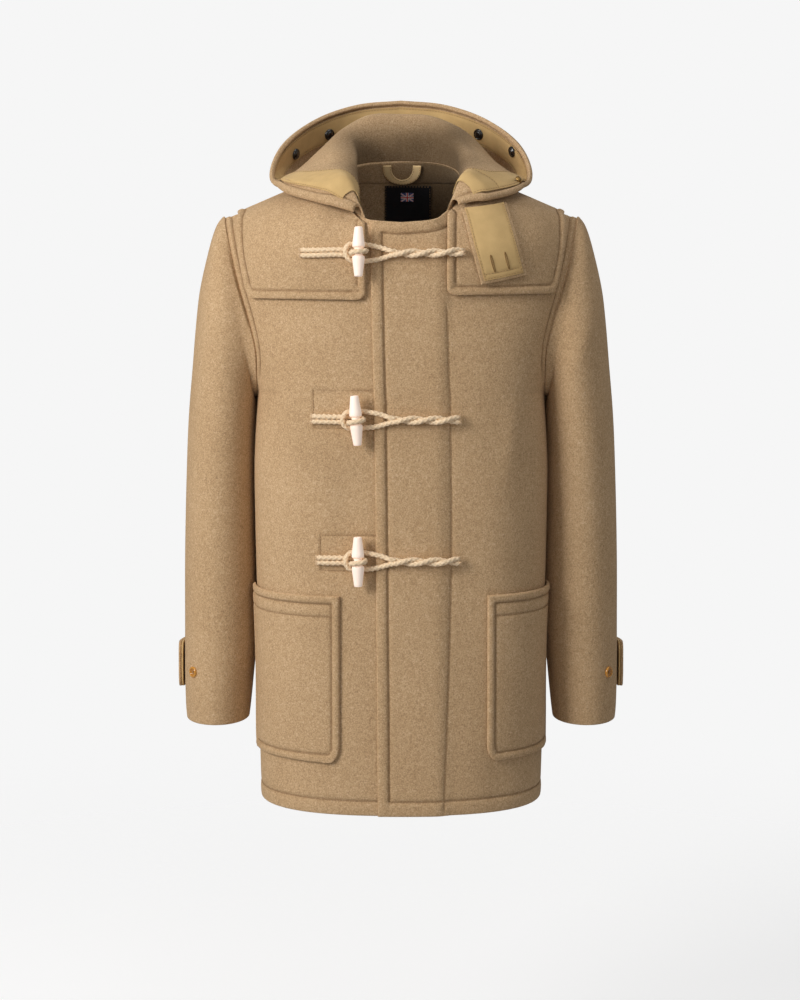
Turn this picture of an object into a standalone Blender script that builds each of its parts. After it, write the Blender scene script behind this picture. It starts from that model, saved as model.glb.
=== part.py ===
"""A hip-length duffle coat, hollow and filled out, with its hood folded back.

The coat faces -Y, its wearer's left is +X and +Z is up.  The origin is at the
base of the neck, level with the shoulder tips, where the wearer carries it.
Metres throughout.

Every cloth piece is an open surface with a Solidify wall.  The fronts and the
back are sheets of rows: level rings from the hem to the underarm, then arcs
that run from the centre line to the armhole, then the neckline and shoulder.
What lies on a sheet (yoke, pocket, tab) takes its points from that sheet,
moved out along its normals.
"""
import math
from collections import namedtuple

import bpy
import numpy as np
from mathutils import Vector

# ---------------------------------------------------------------- sizes
WALL = 0.003            # thick wool cloth
FACING = 0.001          # cotton facing
SEAM = 0.0003           # gap between neighbouring pieces
LAYER_GAP = 0.0008      # gap between a piece and the sheet that it lies on
YOKE_GAP = 0.0026       # the same over the bend of the shoulder
BACK_YOKE_GAP = 0.0040
FACING_GAP = 0.0020     # between the hood and its facing
EDGE_BAND = 0.002       # narrow first row of faces along a sewn edge

# ---------------------------------------------------------------- torso
# Level rings: half width, depth in front of and behind the side seams, and the exponent of the ring's superellipse.
Ring = namedtuple("Ring", "z half_width front back power")
RINGS = [
    Ring(-0.779, 0.1885, 0.137, 0.132, 2.5),
    Ring(-0.700, 0.1905, 0.138, 0.133, 2.5),
    Ring(-0.600, 0.1905, 0.138, 0.132, 2.6),
    Ring(-0.500, 0.1935, 0.136, 0.128, 2.6),
    Ring(-0.400, 0.1955, 0.133, 0.125, 2.7),
    Ring(-0.320, 0.1960, 0.132, 0.126, 2.8),
    Ring(-0.240, 0.1920, 0.132, 0.128, 2.8),
]
SIDE_SEAM_Y = -0.005

# Arcs above the underarm: height and depth at the centre line, the armhole
# point that they end at, and the exponent of the ring that they are part of.
Arc = namedtuple("Arc", "centre_y centre_z arm_x arm_y arm_z power")
FRONT_ARCS = [
    Arc(-0.132, -0.222, 0.1905, -0.034, -0.228, 2.80),
    Arc(-0.131, -0.198, 0.1895, -0.052, -0.206, 2.75),
    Arc(-0.130, -0.168, 0.1905, -0.062, -0.174, 2.60),
    Arc(-0.128, -0.133, 0.1985, -0.060, -0.138, 2.40),
    Arc(-0.125, -0.098, 0.2100, -0.052, -0.100, 2.20),
]
BACK_ARCS = [
    Arc(0.129, -0.215, 0.1915, 0.036, -0.228, 2.80),
    Arc(0.130, -0.185, 0.1930, 0.062, -0.200, 2.75),
    Arc(0.130, -0.150, 0.1980, 0.076, -0.160, 2.60),
    Arc(0.127, -0.110, 0.2060, 0.076, -0.115, 2.40),
    Arc(0.120, -0.068, 0.2155, 0.066, -0.072, 2.20),
]
# Sections over the shoulder, each from the centre line to the armhole.
Point = namedtuple("Point", "x y z")
FRONT_SHOULDER = [
    [Point(0.000, -0.1220, -0.063), Point(0.060, -0.1200, -0.058), Point(0.120, -0.1080, -0.038),
     Point(0.175, -0.0780, -0.036), Point(0.2225, -0.034, -0.056)],
    [Point(0.000, -0.1190, -0.032), Point(0.055, -0.1130, -0.024), Point(0.100, -0.0840, 0.010),
     Point(0.125, -0.0600, 0.019), Point(0.175, -0.0340, 0.007), Point(0.2310, -0.012, -0.022)],
]
BACK_SHOULDER = [
    [Point(0.000, 0.1080, -0.022), Point(0.060, 0.1060, -0.018), Point(0.120, 0.0980, -0.012),
     Point(0.175, 0.0760, -0.018), Point(0.2260, 0.047, -0.036)],
    [Point(0.000, 0.0880, 0.028), Point(0.050, 0.0820, 0.031), Point(0.095, 0.0620, 0.034),
     Point(0.125, 0.0520, 0.026), Point(0.175, 0.0400, 0.008), Point(0.2330, 0.028, -0.013)],
]
SHOULDER_TIP = (0.235, 0.010, -0.004)

# Neckline, half of it, from the back centre round to the front centre.
NECKLINE = [
    Point(0.000, 0.066, 0.073),
    Point(0.030, 0.061, 0.072),
    Point(0.055, 0.045, 0.069),
    Point(0.073, 0.020, 0.062),
    Point(0.079, -0.010, 0.053),
    Point(0.078, -0.042, 0.036),
    Point(0.069, -0.074, 0.017),
    Point(0.054, -0.098, 0.003),
    Point(0.038, -0.112, -0.004),
    Point(0.000, -0.117, -0.007),
]
NECK_SIDE = 4           # the neckline point where the shoulder seam starts
NECK_SHARE = {-1: 0.56, 1: 0.45}        # share of a sheet's top row that is neckline

# Front overlap: the wearer's left front lies over the right one.
LAP_TOP, LAP_HEM = 0.0404, 0.030        # how far the lap edge passes the centre
UNDERLAP_TOP, UNDERLAP_HEM = 0.026, 0.034   # how far the right front runs beneath
LAP_LIFT = WALL + 0.0012
LAP_FLAT, LAP_FADE = 0.046, 0.068      # lifted up to here, level from there on

# ---------------------------------------------------------------- sleeves
# Slanting rings: outer point, inner point, centre depth, half depth, and how
# far the ring has left the armhole's own shape.
SleeveRing = namedtuple("SleeveRing", "out_x out_z in_x in_z mid_y half_depth free")
SLEEVE_RINGS = [
    SleeveRing(0.2440, -0.026, 0.1935, -0.246, 0.006, 0.0740, 0.40),
    SleeveRing(0.2565, -0.055, 0.1945, -0.256, 0.007, 0.0755, 0.75),
    SleeveRing(0.2655, -0.095, 0.1955, -0.270, 0.008, 0.0765, 1.00),
    SleeveRing(0.2715, -0.140, 0.1962, -0.288, 0.010, 0.0765, 1.00),
    SleeveRing(0.2770, -0.200, 0.1967, -0.316, 0.013, 0.0760, 1.00),
    SleeveRing(0.2835, -0.275, 0.1968, -0.356, 0.016, 0.0750, 1.00),
    SleeveRing(0.2875, -0.365, 0.1968, -0.410, 0.019, 0.0730, 1.00),
    SleeveRing(0.2900, -0.460, 0.1962, -0.480, 0.020, 0.0700, 1.00),
    SleeveRing(0.2905, -0.550, 0.1972, -0.555, 0.018, 0.0660, 1.00),
    SleeveRing(0.2905, -0.620, 0.2030, -0.620, 0.015, 0.0620, 1.00),
    SleeveRing(0.2895, -0.662, 0.2072, -0.662, 0.013, 0.0590, 1.00),
    SleeveRing(0.2880, -0.680, 0.2095, -0.680, 0.012, 0.0575, 1.00),
]
SLEEVE_COLUMNS = 16

# Cuff strap, round the outer side from the back seam to its free end.
STRAP_TOP, STRAP_BOTTOM = -0.579, -0.641
STRAP_FROM, STRAP_TO = -125.0, 8.0     # degrees round the sleeve, 0 outward, + front
STRAP_CORNER = 4.0                     # degrees that its free end's corners are cut back
STRAP_WALL = 0.006
STRAP_GAP = 0.0028
BUTTON_RADIUS, BUTTON_THICK = 0.0075, 0.0035
FREE_BUTTON = dict(angle=42.0, z=-0.615)
STRAP_BUTTON = dict(angle=-12.0, z=-0.610)

# ---------------------------------------------------------------- hood
# Guide lines of the folded hood, half of each, from the back centre to the
# front end: neck seam, inner wall, top of the roll and its outer side, then
# the pouch's inner side, its floor in three lines and its outer side, and the
# rim.
HOOD_GUIDES = {
    "neck": NECKLINE[:9],
    "inner": [
        Point(0.0000, 0.0600, 0.1060), Point(0.0340, 0.0550, 0.1050), Point(0.0575, 0.0380, 0.1000),
        Point(0.0665, 0.0140, 0.0900), Point(0.0680, -0.0120, 0.0770), Point(0.0675, -0.0430, 0.0580),
        Point(0.0625, -0.0730, 0.0400), Point(0.0530, -0.0950, 0.0250), Point(0.0410, -0.1115, 0.0050)],
    "crest": [
        Point(0.0000, 0.0840, 0.1355), Point(0.0420, 0.0780, 0.1335), Point(0.0760, 0.0580, 0.1180),
        Point(0.0920, 0.0250, 0.0950), Point(0.0960, -0.0120, 0.0790), Point(0.0910, -0.0450, 0.0670),
        Point(0.0780, -0.0780, 0.0560), Point(0.0620, -0.0970, 0.0430), Point(0.0450, -0.1125, 0.0110)],
    "shoulder": [
        Point(0.0000, 0.1080, 0.1120), Point(0.0560, 0.1040, 0.1100), Point(0.1030, 0.0820, 0.0950),
        Point(0.1335, 0.0450, 0.0670), Point(0.1470, 0.0020, 0.0540), Point(0.1470, -0.0380, 0.0490),
        Point(0.1020, -0.0860, 0.0420), Point(0.0765, -0.1030, 0.0345), Point(0.0490, -0.1140, 0.0120)],
    "pouch_in": [
        Point(0.0000, 0.1240, 0.0050), Point(0.0550, 0.1220, 0.0120), Point(0.1080, 0.1000, 0.0480),
        Point(0.1400, 0.0580, 0.0560), Point(0.1530, 0.0070, 0.0490), Point(0.1505, -0.0417, 0.0460),
        Point(0.1070, -0.0888, 0.0353), Point(0.0806, -0.1048, 0.0275), Point(0.0504, -0.1150, 0.0114)],
    "floor_in": [
        Point(0.0000, 0.1340, -0.0760), Point(0.0500, 0.1330, -0.0690), Point(0.1050, 0.1110, -0.0100),
        Point(0.1435, 0.0640, 0.0490), Point(0.1575, 0.0100, 0.0465), Point(0.1520, -0.0434, 0.0445),
        Point(0.1081, -0.0897, 0.0334), Point(0.0815, -0.1057, 0.0255), Point(0.0511, -0.1155, 0.0109)],
    "floor": [
        Point(0.0000, 0.1500, -0.0840), Point(0.0500, 0.1480, -0.0770), Point(0.1060, 0.1230, -0.0160),
        Point(0.1480, 0.0700, 0.0460), Point(0.1620, 0.0120, 0.0460), Point(0.1534, -0.0450, 0.0430),
        Point(0.1090, -0.0908, 0.0315), Point(0.0822, -0.1066, 0.0236), Point(0.0517, -0.1160, 0.0103)],
    "floor_out": [
        Point(0.0000, 0.1660, -0.0720), Point(0.0530, 0.1630, -0.0650), Point(0.1110, 0.1330, -0.0060),
        Point(0.1530, 0.0760, 0.0500), Point(0.1665, 0.0130, 0.0475), Point(0.1545, -0.0465, 0.0415),
        Point(0.1095, -0.0917, 0.0293), Point(0.0827, -0.1075, 0.0217), Point(0.0523, -0.1165, 0.0096)],
    "pouch_out": [
        Point(0.0000, 0.1900, 0.0100), Point(0.0660, 0.1810, 0.0160), Point(0.1220, 0.1440, 0.0520),
        Point(0.1590, 0.0810, 0.0660), Point(0.1708, 0.0140, 0.0515), Point(0.1562, -0.0492, 0.0385),
        Point(0.1097, -0.0935, 0.0248), Point(0.0829, -0.1091, 0.0182), Point(0.0530, -0.1174, 0.0078)],
    "rim": [
        Point(0.0000, 0.1700, 0.1580), Point(0.0600, 0.1610, 0.1520), Point(0.1150, 0.1270, 0.1320),
        Point(0.1560, 0.0730, 0.0990), Point(0.1715, 0.0120, 0.0610), Point(0.1575, -0.0525, 0.0340),
        Point(0.1080, -0.0960, 0.0180), Point(0.0820, -0.1115, 0.0125), Point(0.0535, -0.1184, 0.0045)],
}
HOOD_WALL = 0.0025
# The overlap turns the hood a little: where its front ends sit on the neckline,
# counted in neckline points, and how far the wall beside the neck goes to +X.
HOOD_END_AT = {-1: 7.65, 1: 6.7}
HOOD_SIDE_SHIFT = 0.010
HOOD_COLUMNS = 32
HOOD_ROWS_BETWEEN = (2, 2, 2, 2, 1, 1, 1, 2, 3)     # rows from each guide to the next
# Facing band: distance of its outer edge from the rim and its width, at the
# back and at the front ends, and the share of the half rim at which it stops.
FACING_OUT_BACK, FACING_OUT_FRONT = 0.009, 0.021
FACING_WIDTH_BACK, FACING_WIDTH_FRONT = 0.033, 0.040
FACING_TAPER = 0.40                    # how much nearer the rim it is at its ends
FACING_END = {-1: 0.93, 1: 0.91}

# Hood snaps: share of the half rim from the back centre, distance from the rim,
# and height of the base above the hood, which clears the bowed facing.
Snap = namedtuple("Snap", "name side share inset height radius colour")
SNAPS = [
    Snap("hood_snap_1", -1, 0.21, 0.030, 0.0046, 0.0080, "black"),
    Snap("hood_snap_2", -1, 0.33, 0.030, 0.0060, 0.0080, "black"),
    Snap("hood_snap_3", 1, 0.23, 0.026, 0.0047, 0.0080, "black"),
    Snap("hood_snap_4", 1, 0.36, 0.018, 0.0046, 0.0080, "black"),
    Snap("hood_snap_5", 1, 0.62, 0.022, 0.0035, 0.0050, "brass"),
]
SNAP_THICK = 0.0035

# ---------------------------------------------------------------- on the sheets
YOKE_BOTTOM = {-1: -0.107, 1: -0.101}
YOKE_INNER = {-1: 0.045, 1: 0.059}     # distance of the inner edge from the centre
YOKE_ARMHOLE = 0.017                   # how far it stays inside the armhole seam
BACK_YOKE_BOTTOM = -0.125

POCKET_TOP, POCKET_BOTTOM = -0.490, -0.710
POCKET_INNER = {-1: 0.079, 1: 0.1115}
POCKET_WIDTH = {-1: 0.170, 1: 0.157}
POCKET_CORNER = (0.013, 0.019)         # cut corners at the bottom: across, up
POCKET_MOUTH = 0.0025                  # how far the mouth stands off

# Throat tab: its corners as x and z in front view, and its lift off the sheet.
TAB_CORNERS = [(0.0778, 0.003), (0.1337, 0.011), (0.1588, -0.0756), (0.1012, -0.0870)]
TAB_LIFT = 0.0104
TAB_BORDER = 0.0045

# ---------------------------------------------------------------- fastenings
Toggle = namedtuple("Toggle", "x z tilt cord_from loop_to")
TOGGLES = [
    Toggle(-0.0524, -0.0476, 0.0, -0.1258, 0.0791),
    Toggle(-0.0561, -0.2602, 3.7, -0.1142, 0.0740),
    Toggle(-0.0530, -0.4435, 0.6, -0.1077, 0.0740),
]
TOGGLE_LENGTH, TOGGLE_RADIUS, TOGGLE_END_RADIUS = 0.064, 0.0080, 0.0052
TOGGLE_WAIST, TOGGLE_WAIST_HALF = 0.0052, 0.0058
TOGGLE_AXIS = 0.0160                   # height of its axis above the cloth
CORD_RADIUS = 0.0031
CORD_PAIR = 0.0066                     # centre distance of two strands side by side
TWIST_PITCH = 0.056
LOOP_JOIN_X = -0.0130                  # where the loop's strands start to twist

# Inside the back neck.
LOOP_OUTER, LOOP_INNER = 0.028, 0.0155  # half widths of the hanging loop at its top
LOOP_CENTRE_X = 0.0015
LOOP_TOP_Z, LOOP_OUTER_Z, LOOP_INNER_Z = 0.070, 0.0435, 0.0500
LABEL_CENTRE_X, LABEL_HALF, LABEL_TOP_Z, LABEL_BOTTOM_Z = 0.0095, 0.032, 0.041, -0.014

COLOURS = {
    "wool": (0.47, 0.31, 0.17, 1), "cotton": (0.51, 0.34, 0.14, 1),
    "horn": (0.85, 0.66, 0.55, 1), "cord": (0.72, 0.56, 0.38, 1),
    "black": (0.02, 0.02, 0.025, 1), "amber": (0.33, 0.15, 0.03, 1),
    "brass": (0.55, 0.38, 0.15, 1),
}


# ---------------------------------------------------------------- curves
def spline(points, share):
    """Catmull-Rom curve through evenly numbered points, at shares 0 to 1."""
    points = np.asarray(points, float)
    place = np.clip(np.asarray(share, float), 0, 1) * (len(points) - 1)
    first = np.minimum(place.astype(int), len(points) - 2)
    part = (place - first).reshape(place.shape + (1,) * (points.ndim - 1))
    padded = np.concatenate([2 * points[:1] - points[1:2], points, 2 * points[-1:] - points[-2:-1]])
    before, start, end, after = (padded[first + step] for step in range(4))
    return 0.5 * (2 * start + (end - before) * part
                  + (2 * before - 5 * start + 4 * end - after) * part ** 2
                  + (3 * start - before - 3 * end + after) * part ** 3)


def run_length(points):
    """Distance walked along a line of points, from its first."""
    steps = np.linalg.norm(np.diff(points, axis=0), axis=1)
    return np.concatenate([[0.0], np.cumsum(steps)])


def at_lengths(points, lengths):
    """Points of a line at the given distances along it."""
    walked = run_length(points)
    return np.stack([np.interp(lengths, walked, points[:, k]) for k in range(3)], axis=1)


def smooth_step(value, low, high):
    part = np.clip((value - low) / (high - low), 0, 1)
    return part * part * (3 - 2 * part)


# ---------------------------------------------------------------- sheets
FINE = 120              # samples across one half of a row


def ring_row(ring, facing):
    """Half a level ring, from the centre line to the side seam."""
    depth = ring.front + SIDE_SEAM_Y if facing < 0 else ring.back - SIDE_SEAM_Y
    turn = np.linspace(0, math.pi / 2, 4 * FINE)
    across = ring.half_width * np.sin(turn) ** (2 / ring.power)
    along = SIDE_SEAM_Y + facing * depth * np.cos(turn) ** (2 / ring.power)
    return np.stack([across, along, np.full_like(across, ring.z)], axis=1)


def arc_row(arc):
    """An arc from the centre line to the armhole: a ring cut off where it gets there."""
    depth = arc.centre_y - SIDE_SEAM_Y
    left = (arc.arm_y - SIDE_SEAM_Y) / depth
    half_width = arc.arm_x / (1 - left ** arc.power) ** (1 / arc.power)
    last = math.acos(left ** (arc.power / 2))
    turn = np.linspace(0, last, 4 * FINE)
    across = half_width * np.sin(turn) ** (2 / arc.power)
    along = SIDE_SEAM_Y + depth * np.cos(turn) ** (2 / arc.power)
    height = arc.centre_z + (arc.arm_z - arc.centre_z) * (across / arc.arm_x) ** 1.5
    return np.stack([across, along, height], axis=1)


def top_row(facing):
    """The neckline from the centre to the side, then the shoulder seam."""
    neck = spline(NECKLINE, np.linspace(0, 1, 9 * 30 + 1))
    side = NECK_SIDE * 30
    neck = neck[side:][::-1] if facing < 0 else neck[:side + 1]
    return neck, np.array([neck[-1], SHOULDER_TIP])


class Sheet:
    """Half of the torso's front (facing -1) or back (facing +1), wearer's left.

    A place on it is (across, up): across 0 at the centre line and 1 at the
    side seam or armhole, up 0 at the hem and 1 at the neckline and shoulder.
    """

    def __init__(self, facing):
        self.facing = facing
        arcs, over = (FRONT_ARCS, FRONT_SHOULDER) if facing < 0 else (BACK_ARCS, BACK_SHOULDER)
        shares = np.linspace(0, 1, FINE + 1)
        lines = ([ring_row(ring, facing) for ring in RINGS] + [arc_row(arc) for arc in arcs]
                 + [spline(section, np.linspace(0, 1, 4 * FINE)) for section in over])
        rows = [at_lengths(line, shares * run_length(line)[-1]) for line in lines]
        neck, shoulder = top_row(facing)
        neck_share = NECK_SHARE[facing]
        neck_part, shoulder_part = shares[shares <= neck_share], shares[shares > neck_share]
        rows.append(np.concatenate([
            at_lengths(neck, neck_part / neck_share * run_length(neck)[-1]),
            at_lengths(shoulder, (shoulder_part - neck_share) / (1 - neck_share)
                       * run_length(shoulder)[-1])]))
        self.row_count = len(rows)
        self.rows_last = np.array([row[-1] for row in rows])
        self.ups = np.linspace(0, 1, 10 * (self.row_count - 1) + 1)
        # The side seam ends sharply at the underarm, so near it the rows below
        # and above are run as two curves, and elsewhere as one.
        under = len(RINGS) - 1
        half = spline(rows, self.ups)
        pinned = np.concatenate([spline(rows[:under + 1], np.linspace(0, 1, 10 * under + 1)),
                                 spline(rows[under:], np.linspace(0, 1, len(self.ups) - 10 * under))[1:]])
        near_side = smooth_step(shares, 0.70, 0.97)[:, None]
        half = half * (1 - near_side) + pinned * near_side
        mirrored = half[:, 1:][:, ::-1] * (-1, 1, 1)
        self.points = np.concatenate([mirrored, half], axis=1)
        self.acrosses = np.linspace(-1, 1, 2 * FINE + 1)
        along_up, along_across = np.gradient(self.points, axis=0), np.gradient(self.points, axis=1)
        normals = np.cross(along_across, along_up) * (-facing)
        self.normals = normals / np.linalg.norm(normals, axis=2, keepdims=True)
        self.widths = np.linalg.norm(np.diff(half, axis=1), axis=2).sum(axis=1)

    def _sample(self, table, across, up):
        column = np.clip((np.asarray(across) + 1) * FINE, 0, 2 * FINE - 1e-9)
        row = np.clip(np.asarray(up) * (len(self.ups) - 1), 0, len(self.ups) - 1 - 1e-9)
        i, j = row.astype(int), column.astype(int)
        a, b = (row - i)[..., None], (column - j)[..., None]
        return ((table[i, j] * (1 - b) + table[i, j + 1] * b) * (1 - a)
                + (table[i + 1, j] * (1 - b) + table[i + 1, j + 1] * b) * a)

    def at(self, across, up, lift=0.0):
        """Points of the sheet, moved out along its normals by lift."""
        normal = self._sample(self.normals, across, up)
        normal = normal / np.linalg.norm(normal, axis=-1, keepdims=True)
        return self._sample(self.points, across, up) + normal * np.asarray(lift)[..., None]

    def normal(self, across, up):
        normal = self._sample(self.normals, across, up)
        return normal / np.linalg.norm(normal, axis=-1, keepdims=True)

    def arrival(self, up):
        """Unit direction in which a row reaches its outer end."""
        step = self.at(np.array(1.0), np.array(up)) - self.at(np.array(0.97), np.array(up))
        return step / np.linalg.norm(step)

    def width(self, up):
        """Length of a half row, from the centre line to its outer end."""
        return np.interp(up, self.ups, self.widths)

    def across_of_x(self, x, up):
        """Where a row passes the plane at x, for each of the given rows."""
        rows = self._sample(self.points, self.acrosses[None, :], np.asarray(up)[:, None])
        return np.array([np.interp(x, row[:, 0], self.acrosses) for row in rows])

    def up_of_z(self, across, z):
        """How far up a line of constant across reaches the height z."""
        heights = self._sample(self.points, np.full(self.ups.shape, float(across)), self.ups)[:, 2]
        return float(np.interp(z, np.maximum.accumulate(heights), self.ups))

    def up_from_top(self, across, distance):
        """How far up a line of constant across is at a distance from its top."""
        line = self._sample(self.points, np.full(self.ups.shape, float(across)), self.ups)
        left = run_length(line[::-1])[::-1]
        return float(np.interp(-distance, -left, self.ups))

    def yoke_top(self, across):
        """Where a yoke ends: short of the neckline, at the shoulder seam."""
        seam = float(on_shoulder(np.array(across), self.facing))
        return self.up_from_top(across, 0.0060 + (0.0004 - 0.0060) * seam)

    def place(self, x, z):
        """The (across, up) of the sheet's point seen at x and z from the front."""
        across, up = x / 0.22, 0.5
        for _ in range(12):
            up = self.up_of_z(across, z)
            across = float(self.across_of_x(x, [up])[0])
        return across, up


def edged(low, high, count, band):
    """Evenly spaced stations with a narrow band at each end."""
    return np.concatenate([[low], np.linspace(low + band, high - band, count - 1), [high]])


# ---------------------------------------------------------------- objects
def material(name):
    found = bpy.data.materials.get(name)
    if found:
        return found
    made = bpy.data.materials.new(name)
    made.use_nodes = True
    shader = made.node_tree.nodes["Principled BSDF"]
    shader.inputs["Base Color"].default_value = COLOURS[name]
    shader.inputs["Roughness"].default_value = 0.35 if name in ("horn", "amber", "brass") else 0.95
    shader.inputs["Metallic"].default_value = 1.0 if name == "brass" else 0.0
    return made


def add_object(name, mesh, colour):
    mesh.materials.append(material(colour))
    thing = bpy.data.objects.new(name, mesh)
    bpy.data.collections["duffle_coat"].objects.link(thing)
    return thing


def cloth(name, points, wall, colour, closed=False, flip=False):
    """A grid of points (rows, columns, 3) as a surface with a Solidify wall.

    The given points are the visible side.  closed joins the last column to
    the first; flip turns the faces over.
    """
    rows, columns = points.shape[:2]
    i, j = np.meshgrid(np.arange(rows - 1), np.arange(columns if closed else columns - 1), indexing="ij")
    right = (j + 1) % columns
    faces = np.stack([i * columns + j, i * columns + right,
                      (i + 1) * columns + right, (i + 1) * columns + j], axis=-1).reshape(-1, 4)
    if flip:
        faces = faces[:, ::-1]
    mesh = bpy.data.meshes.new(name)
    mesh.from_pydata(points.reshape(-1, 3).tolist(), [], faces.tolist())
    mesh.shade_smooth()
    thing = add_object(name, mesh, colour)
    thickness = thing.modifiers.new("wall", "SOLIDIFY")
    thickness.thickness = wall
    thickness.offset = -1
    return thing


def tube(name, route, radius, colour, closed=False):
    """A round cord along a route, as a bevelled curve with filled caps."""
    curve = bpy.data.curves.new(name, "CURVE")
    curve.dimensions = "3D"
    curve.bevel_depth = radius
    curve.bevel_resolution = 1
    curve.use_fill_caps = not closed
    line = curve.splines.new("POLY")
    line.points.add(len(route) - 1)
    for knot, place in zip(line.points, route):
        knot.co = (*place, 1)
    line.use_cyclic_u = closed
    return add_object(name, curve, colour)


def turned(name, profile, colour, steps):
    """A solid of revolution about its own Z from (radius, height), top first."""
    mesh = bpy.data.meshes.new(name)
    mesh.from_pydata([(radius, 0, height) for radius, height in profile],
                     [(k, k + 1) for k in range(len(profile) - 1)], [])
    thing = add_object(name, mesh, colour)
    screw = thing.modifiers.new("turn", "SCREW")
    screw.steps = screw.render_steps = steps
    screw.use_merge_vertices = True
    screw.merge_threshold = 0.00002
    return thing


def aim(thing, place, direction):
    """Put an object at a place with its Z along a direction."""
    turn = Vector(direction).to_track_quat("Z", "Y")
    thing.location = Vector(place)
    thing.rotation_mode = "QUATERNION"
    thing.rotation_quaternion = turn


# ---------------------------------------------------------------- torso
def lap_lift(x):
    """How far the left front stands off to clear the right front beneath it."""
    return LAP_LIFT * (1 - smooth_step(x, LAP_FLAT, LAP_FADE))


def panel_ups(sheet):
    """Rows of a torso panel: even below the underarm, closer towards the shoulder."""
    chest = (len(RINGS) - 1) / (sheet.row_count - 1)
    bend = (sheet.row_count - 4) / (sheet.row_count - 1)
    return np.concatenate([np.linspace(0, chest, 9)[:-1], np.linspace(chest, bend, 6)[:-1],
                           np.linspace(bend, 1, 10)])


def armhole_column(sheet, up):
    """The armhole's end of a row on the same chords as the sleeve's first ring.

    Also gives the direction in which the row arrives there.
    """
    knots = sheet.rows_last
    place = up * (sheet.row_count - 1)
    point = np.stack([np.interp(place, np.arange(sheet.row_count), knots[:, k]) for k in range(3)])
    return point, sheet.arrival(up)


def seam_band(rows, shoulder):
    """End a panel with a narrow band that lies level beside the shoulder seam.

    Walls on both sides of the seam then stand upright and stay apart.
    shoulder says how far each column belongs to the shoulder seam, 0 to 1.
    """
    edge, below = rows[-1], rows[-2]
    straight = below - edge
    straight /= np.linalg.norm(straight, axis=1, keepdims=True)
    level = np.cross(np.gradient(edge, axis=0), (0.0, 0.0, 1.0))
    level /= np.linalg.norm(level, axis=1, keepdims=True)
    level *= np.sign(np.einsum("ij,ij->i", level, straight))[:, None]
    away = straight * (1 - shoulder[:, None]) + level * shoulder[:, None]
    away /= np.linalg.norm(away, axis=1, keepdims=True)
    return rows[:-1] + [edge + away * (EDGE_BAND + SEAM), edge + away * SEAM]


def on_shoulder(across, facing):
    """How far columns of a sheet belong to the shoulder seam, 0 to 1."""
    share = NECK_SHARE[facing]
    return smooth_step(np.abs(across), share - 0.03, share + 0.03)


def front_panel(name, sheet, side):
    """One front.  side +1 is the wearer's left, which laps over."""
    ups = panel_ups(sheet)
    rows = []
    for up in ups:
        width = sheet.width(up)
        if side > 0:
            overlap = LAP_HEM + (LAP_TOP - LAP_HEM) * up
        else:
            overlap = UNDERLAP_HEM + (UNDERLAP_TOP - UNDERLAP_HEM) * up
        trim = SEAM / 2 / width
        across = edged(-overlap / width, 1 - trim, 12, EDGE_BAND / width)
        here = np.full_like(across, up)
        lift = lap_lift(sheet.at(across, here)[:, 0]) if side > 0 else np.zeros_like(across)
        row = sheet.at(across, here, lift)
        if up >= (len(RINGS) - 1) / (sheet.row_count - 1):
            end, arriving = armhole_column(sheet, up)
            row[-1], row[-2] = end - arriving * SEAM / 2, end - arriving * (SEAM / 2 + EDGE_BAND)
        rows.append(row * (side, 1, 1))
    rows = seam_band(rows, on_shoulder(across, -1))
    return cloth(name, np.array(rows), WALL, "wool", flip=side < 0)


def back_panel(name, sheet):
    ups = panel_ups(sheet)
    rows = []
    for up in ups:
        width = sheet.width(up)
        reach = 1 - SEAM / 2 / width
        across = edged(-reach, reach, 20, EDGE_BAND / width)
        row = sheet.at(across, np.full_like(across, up))
        if up >= (len(RINGS) - 1) / (sheet.row_count - 1):
            end, arriving = armhole_column(sheet, up)
            for turn, (last, band) in ((1, (-1, -2)), (-1, (0, 1))):
                row[last] = (end - arriving * SEAM / 2) * (turn, 1, 1)
                row[band] = (end - arriving * (SEAM / 2 + EDGE_BAND)) * (turn, 1, 1)
        rows.append(row)
    rows = seam_band(rows, on_shoulder(across, 1))
    return cloth(name, np.array(rows), WALL, "wool", flip=True)


# ---------------------------------------------------------------- sleeves
def armhole():
    """The armhole loop of the wearer's left: shoulder tip, front, underarm, back."""
    under = RINGS[-1]
    front = [(a.arm_x, a.arm_y, a.arm_z) for a in FRONT_ARCS] + [line[-1] for line in FRONT_SHOULDER]
    back = [(a.arm_x, a.arm_y, a.arm_z) for a in BACK_ARCS] + [line[-1] for line in BACK_SHOULDER]
    loop = [SHOULDER_TIP] + front[::-1] + [(under.half_width, SIDE_SEAM_Y, under.z)] + back
    return np.array(loop)


def sleeve_turns():
    return np.linspace(0, 2 * math.pi, SLEEVE_COLUMNS, endpoint=False)


def sleeve_ring(ring, turn):
    """Points of one sleeve ring: turn 0 is outward, a quarter is the front."""
    outward = (1 + np.cos(turn)) / 2
    return np.stack([ring.in_x + (ring.out_x - ring.in_x) * outward,
                     ring.mid_y - ring.half_depth * np.sin(turn),
                     ring.in_z + (ring.out_z - ring.in_z) * outward], axis=-1)


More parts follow.
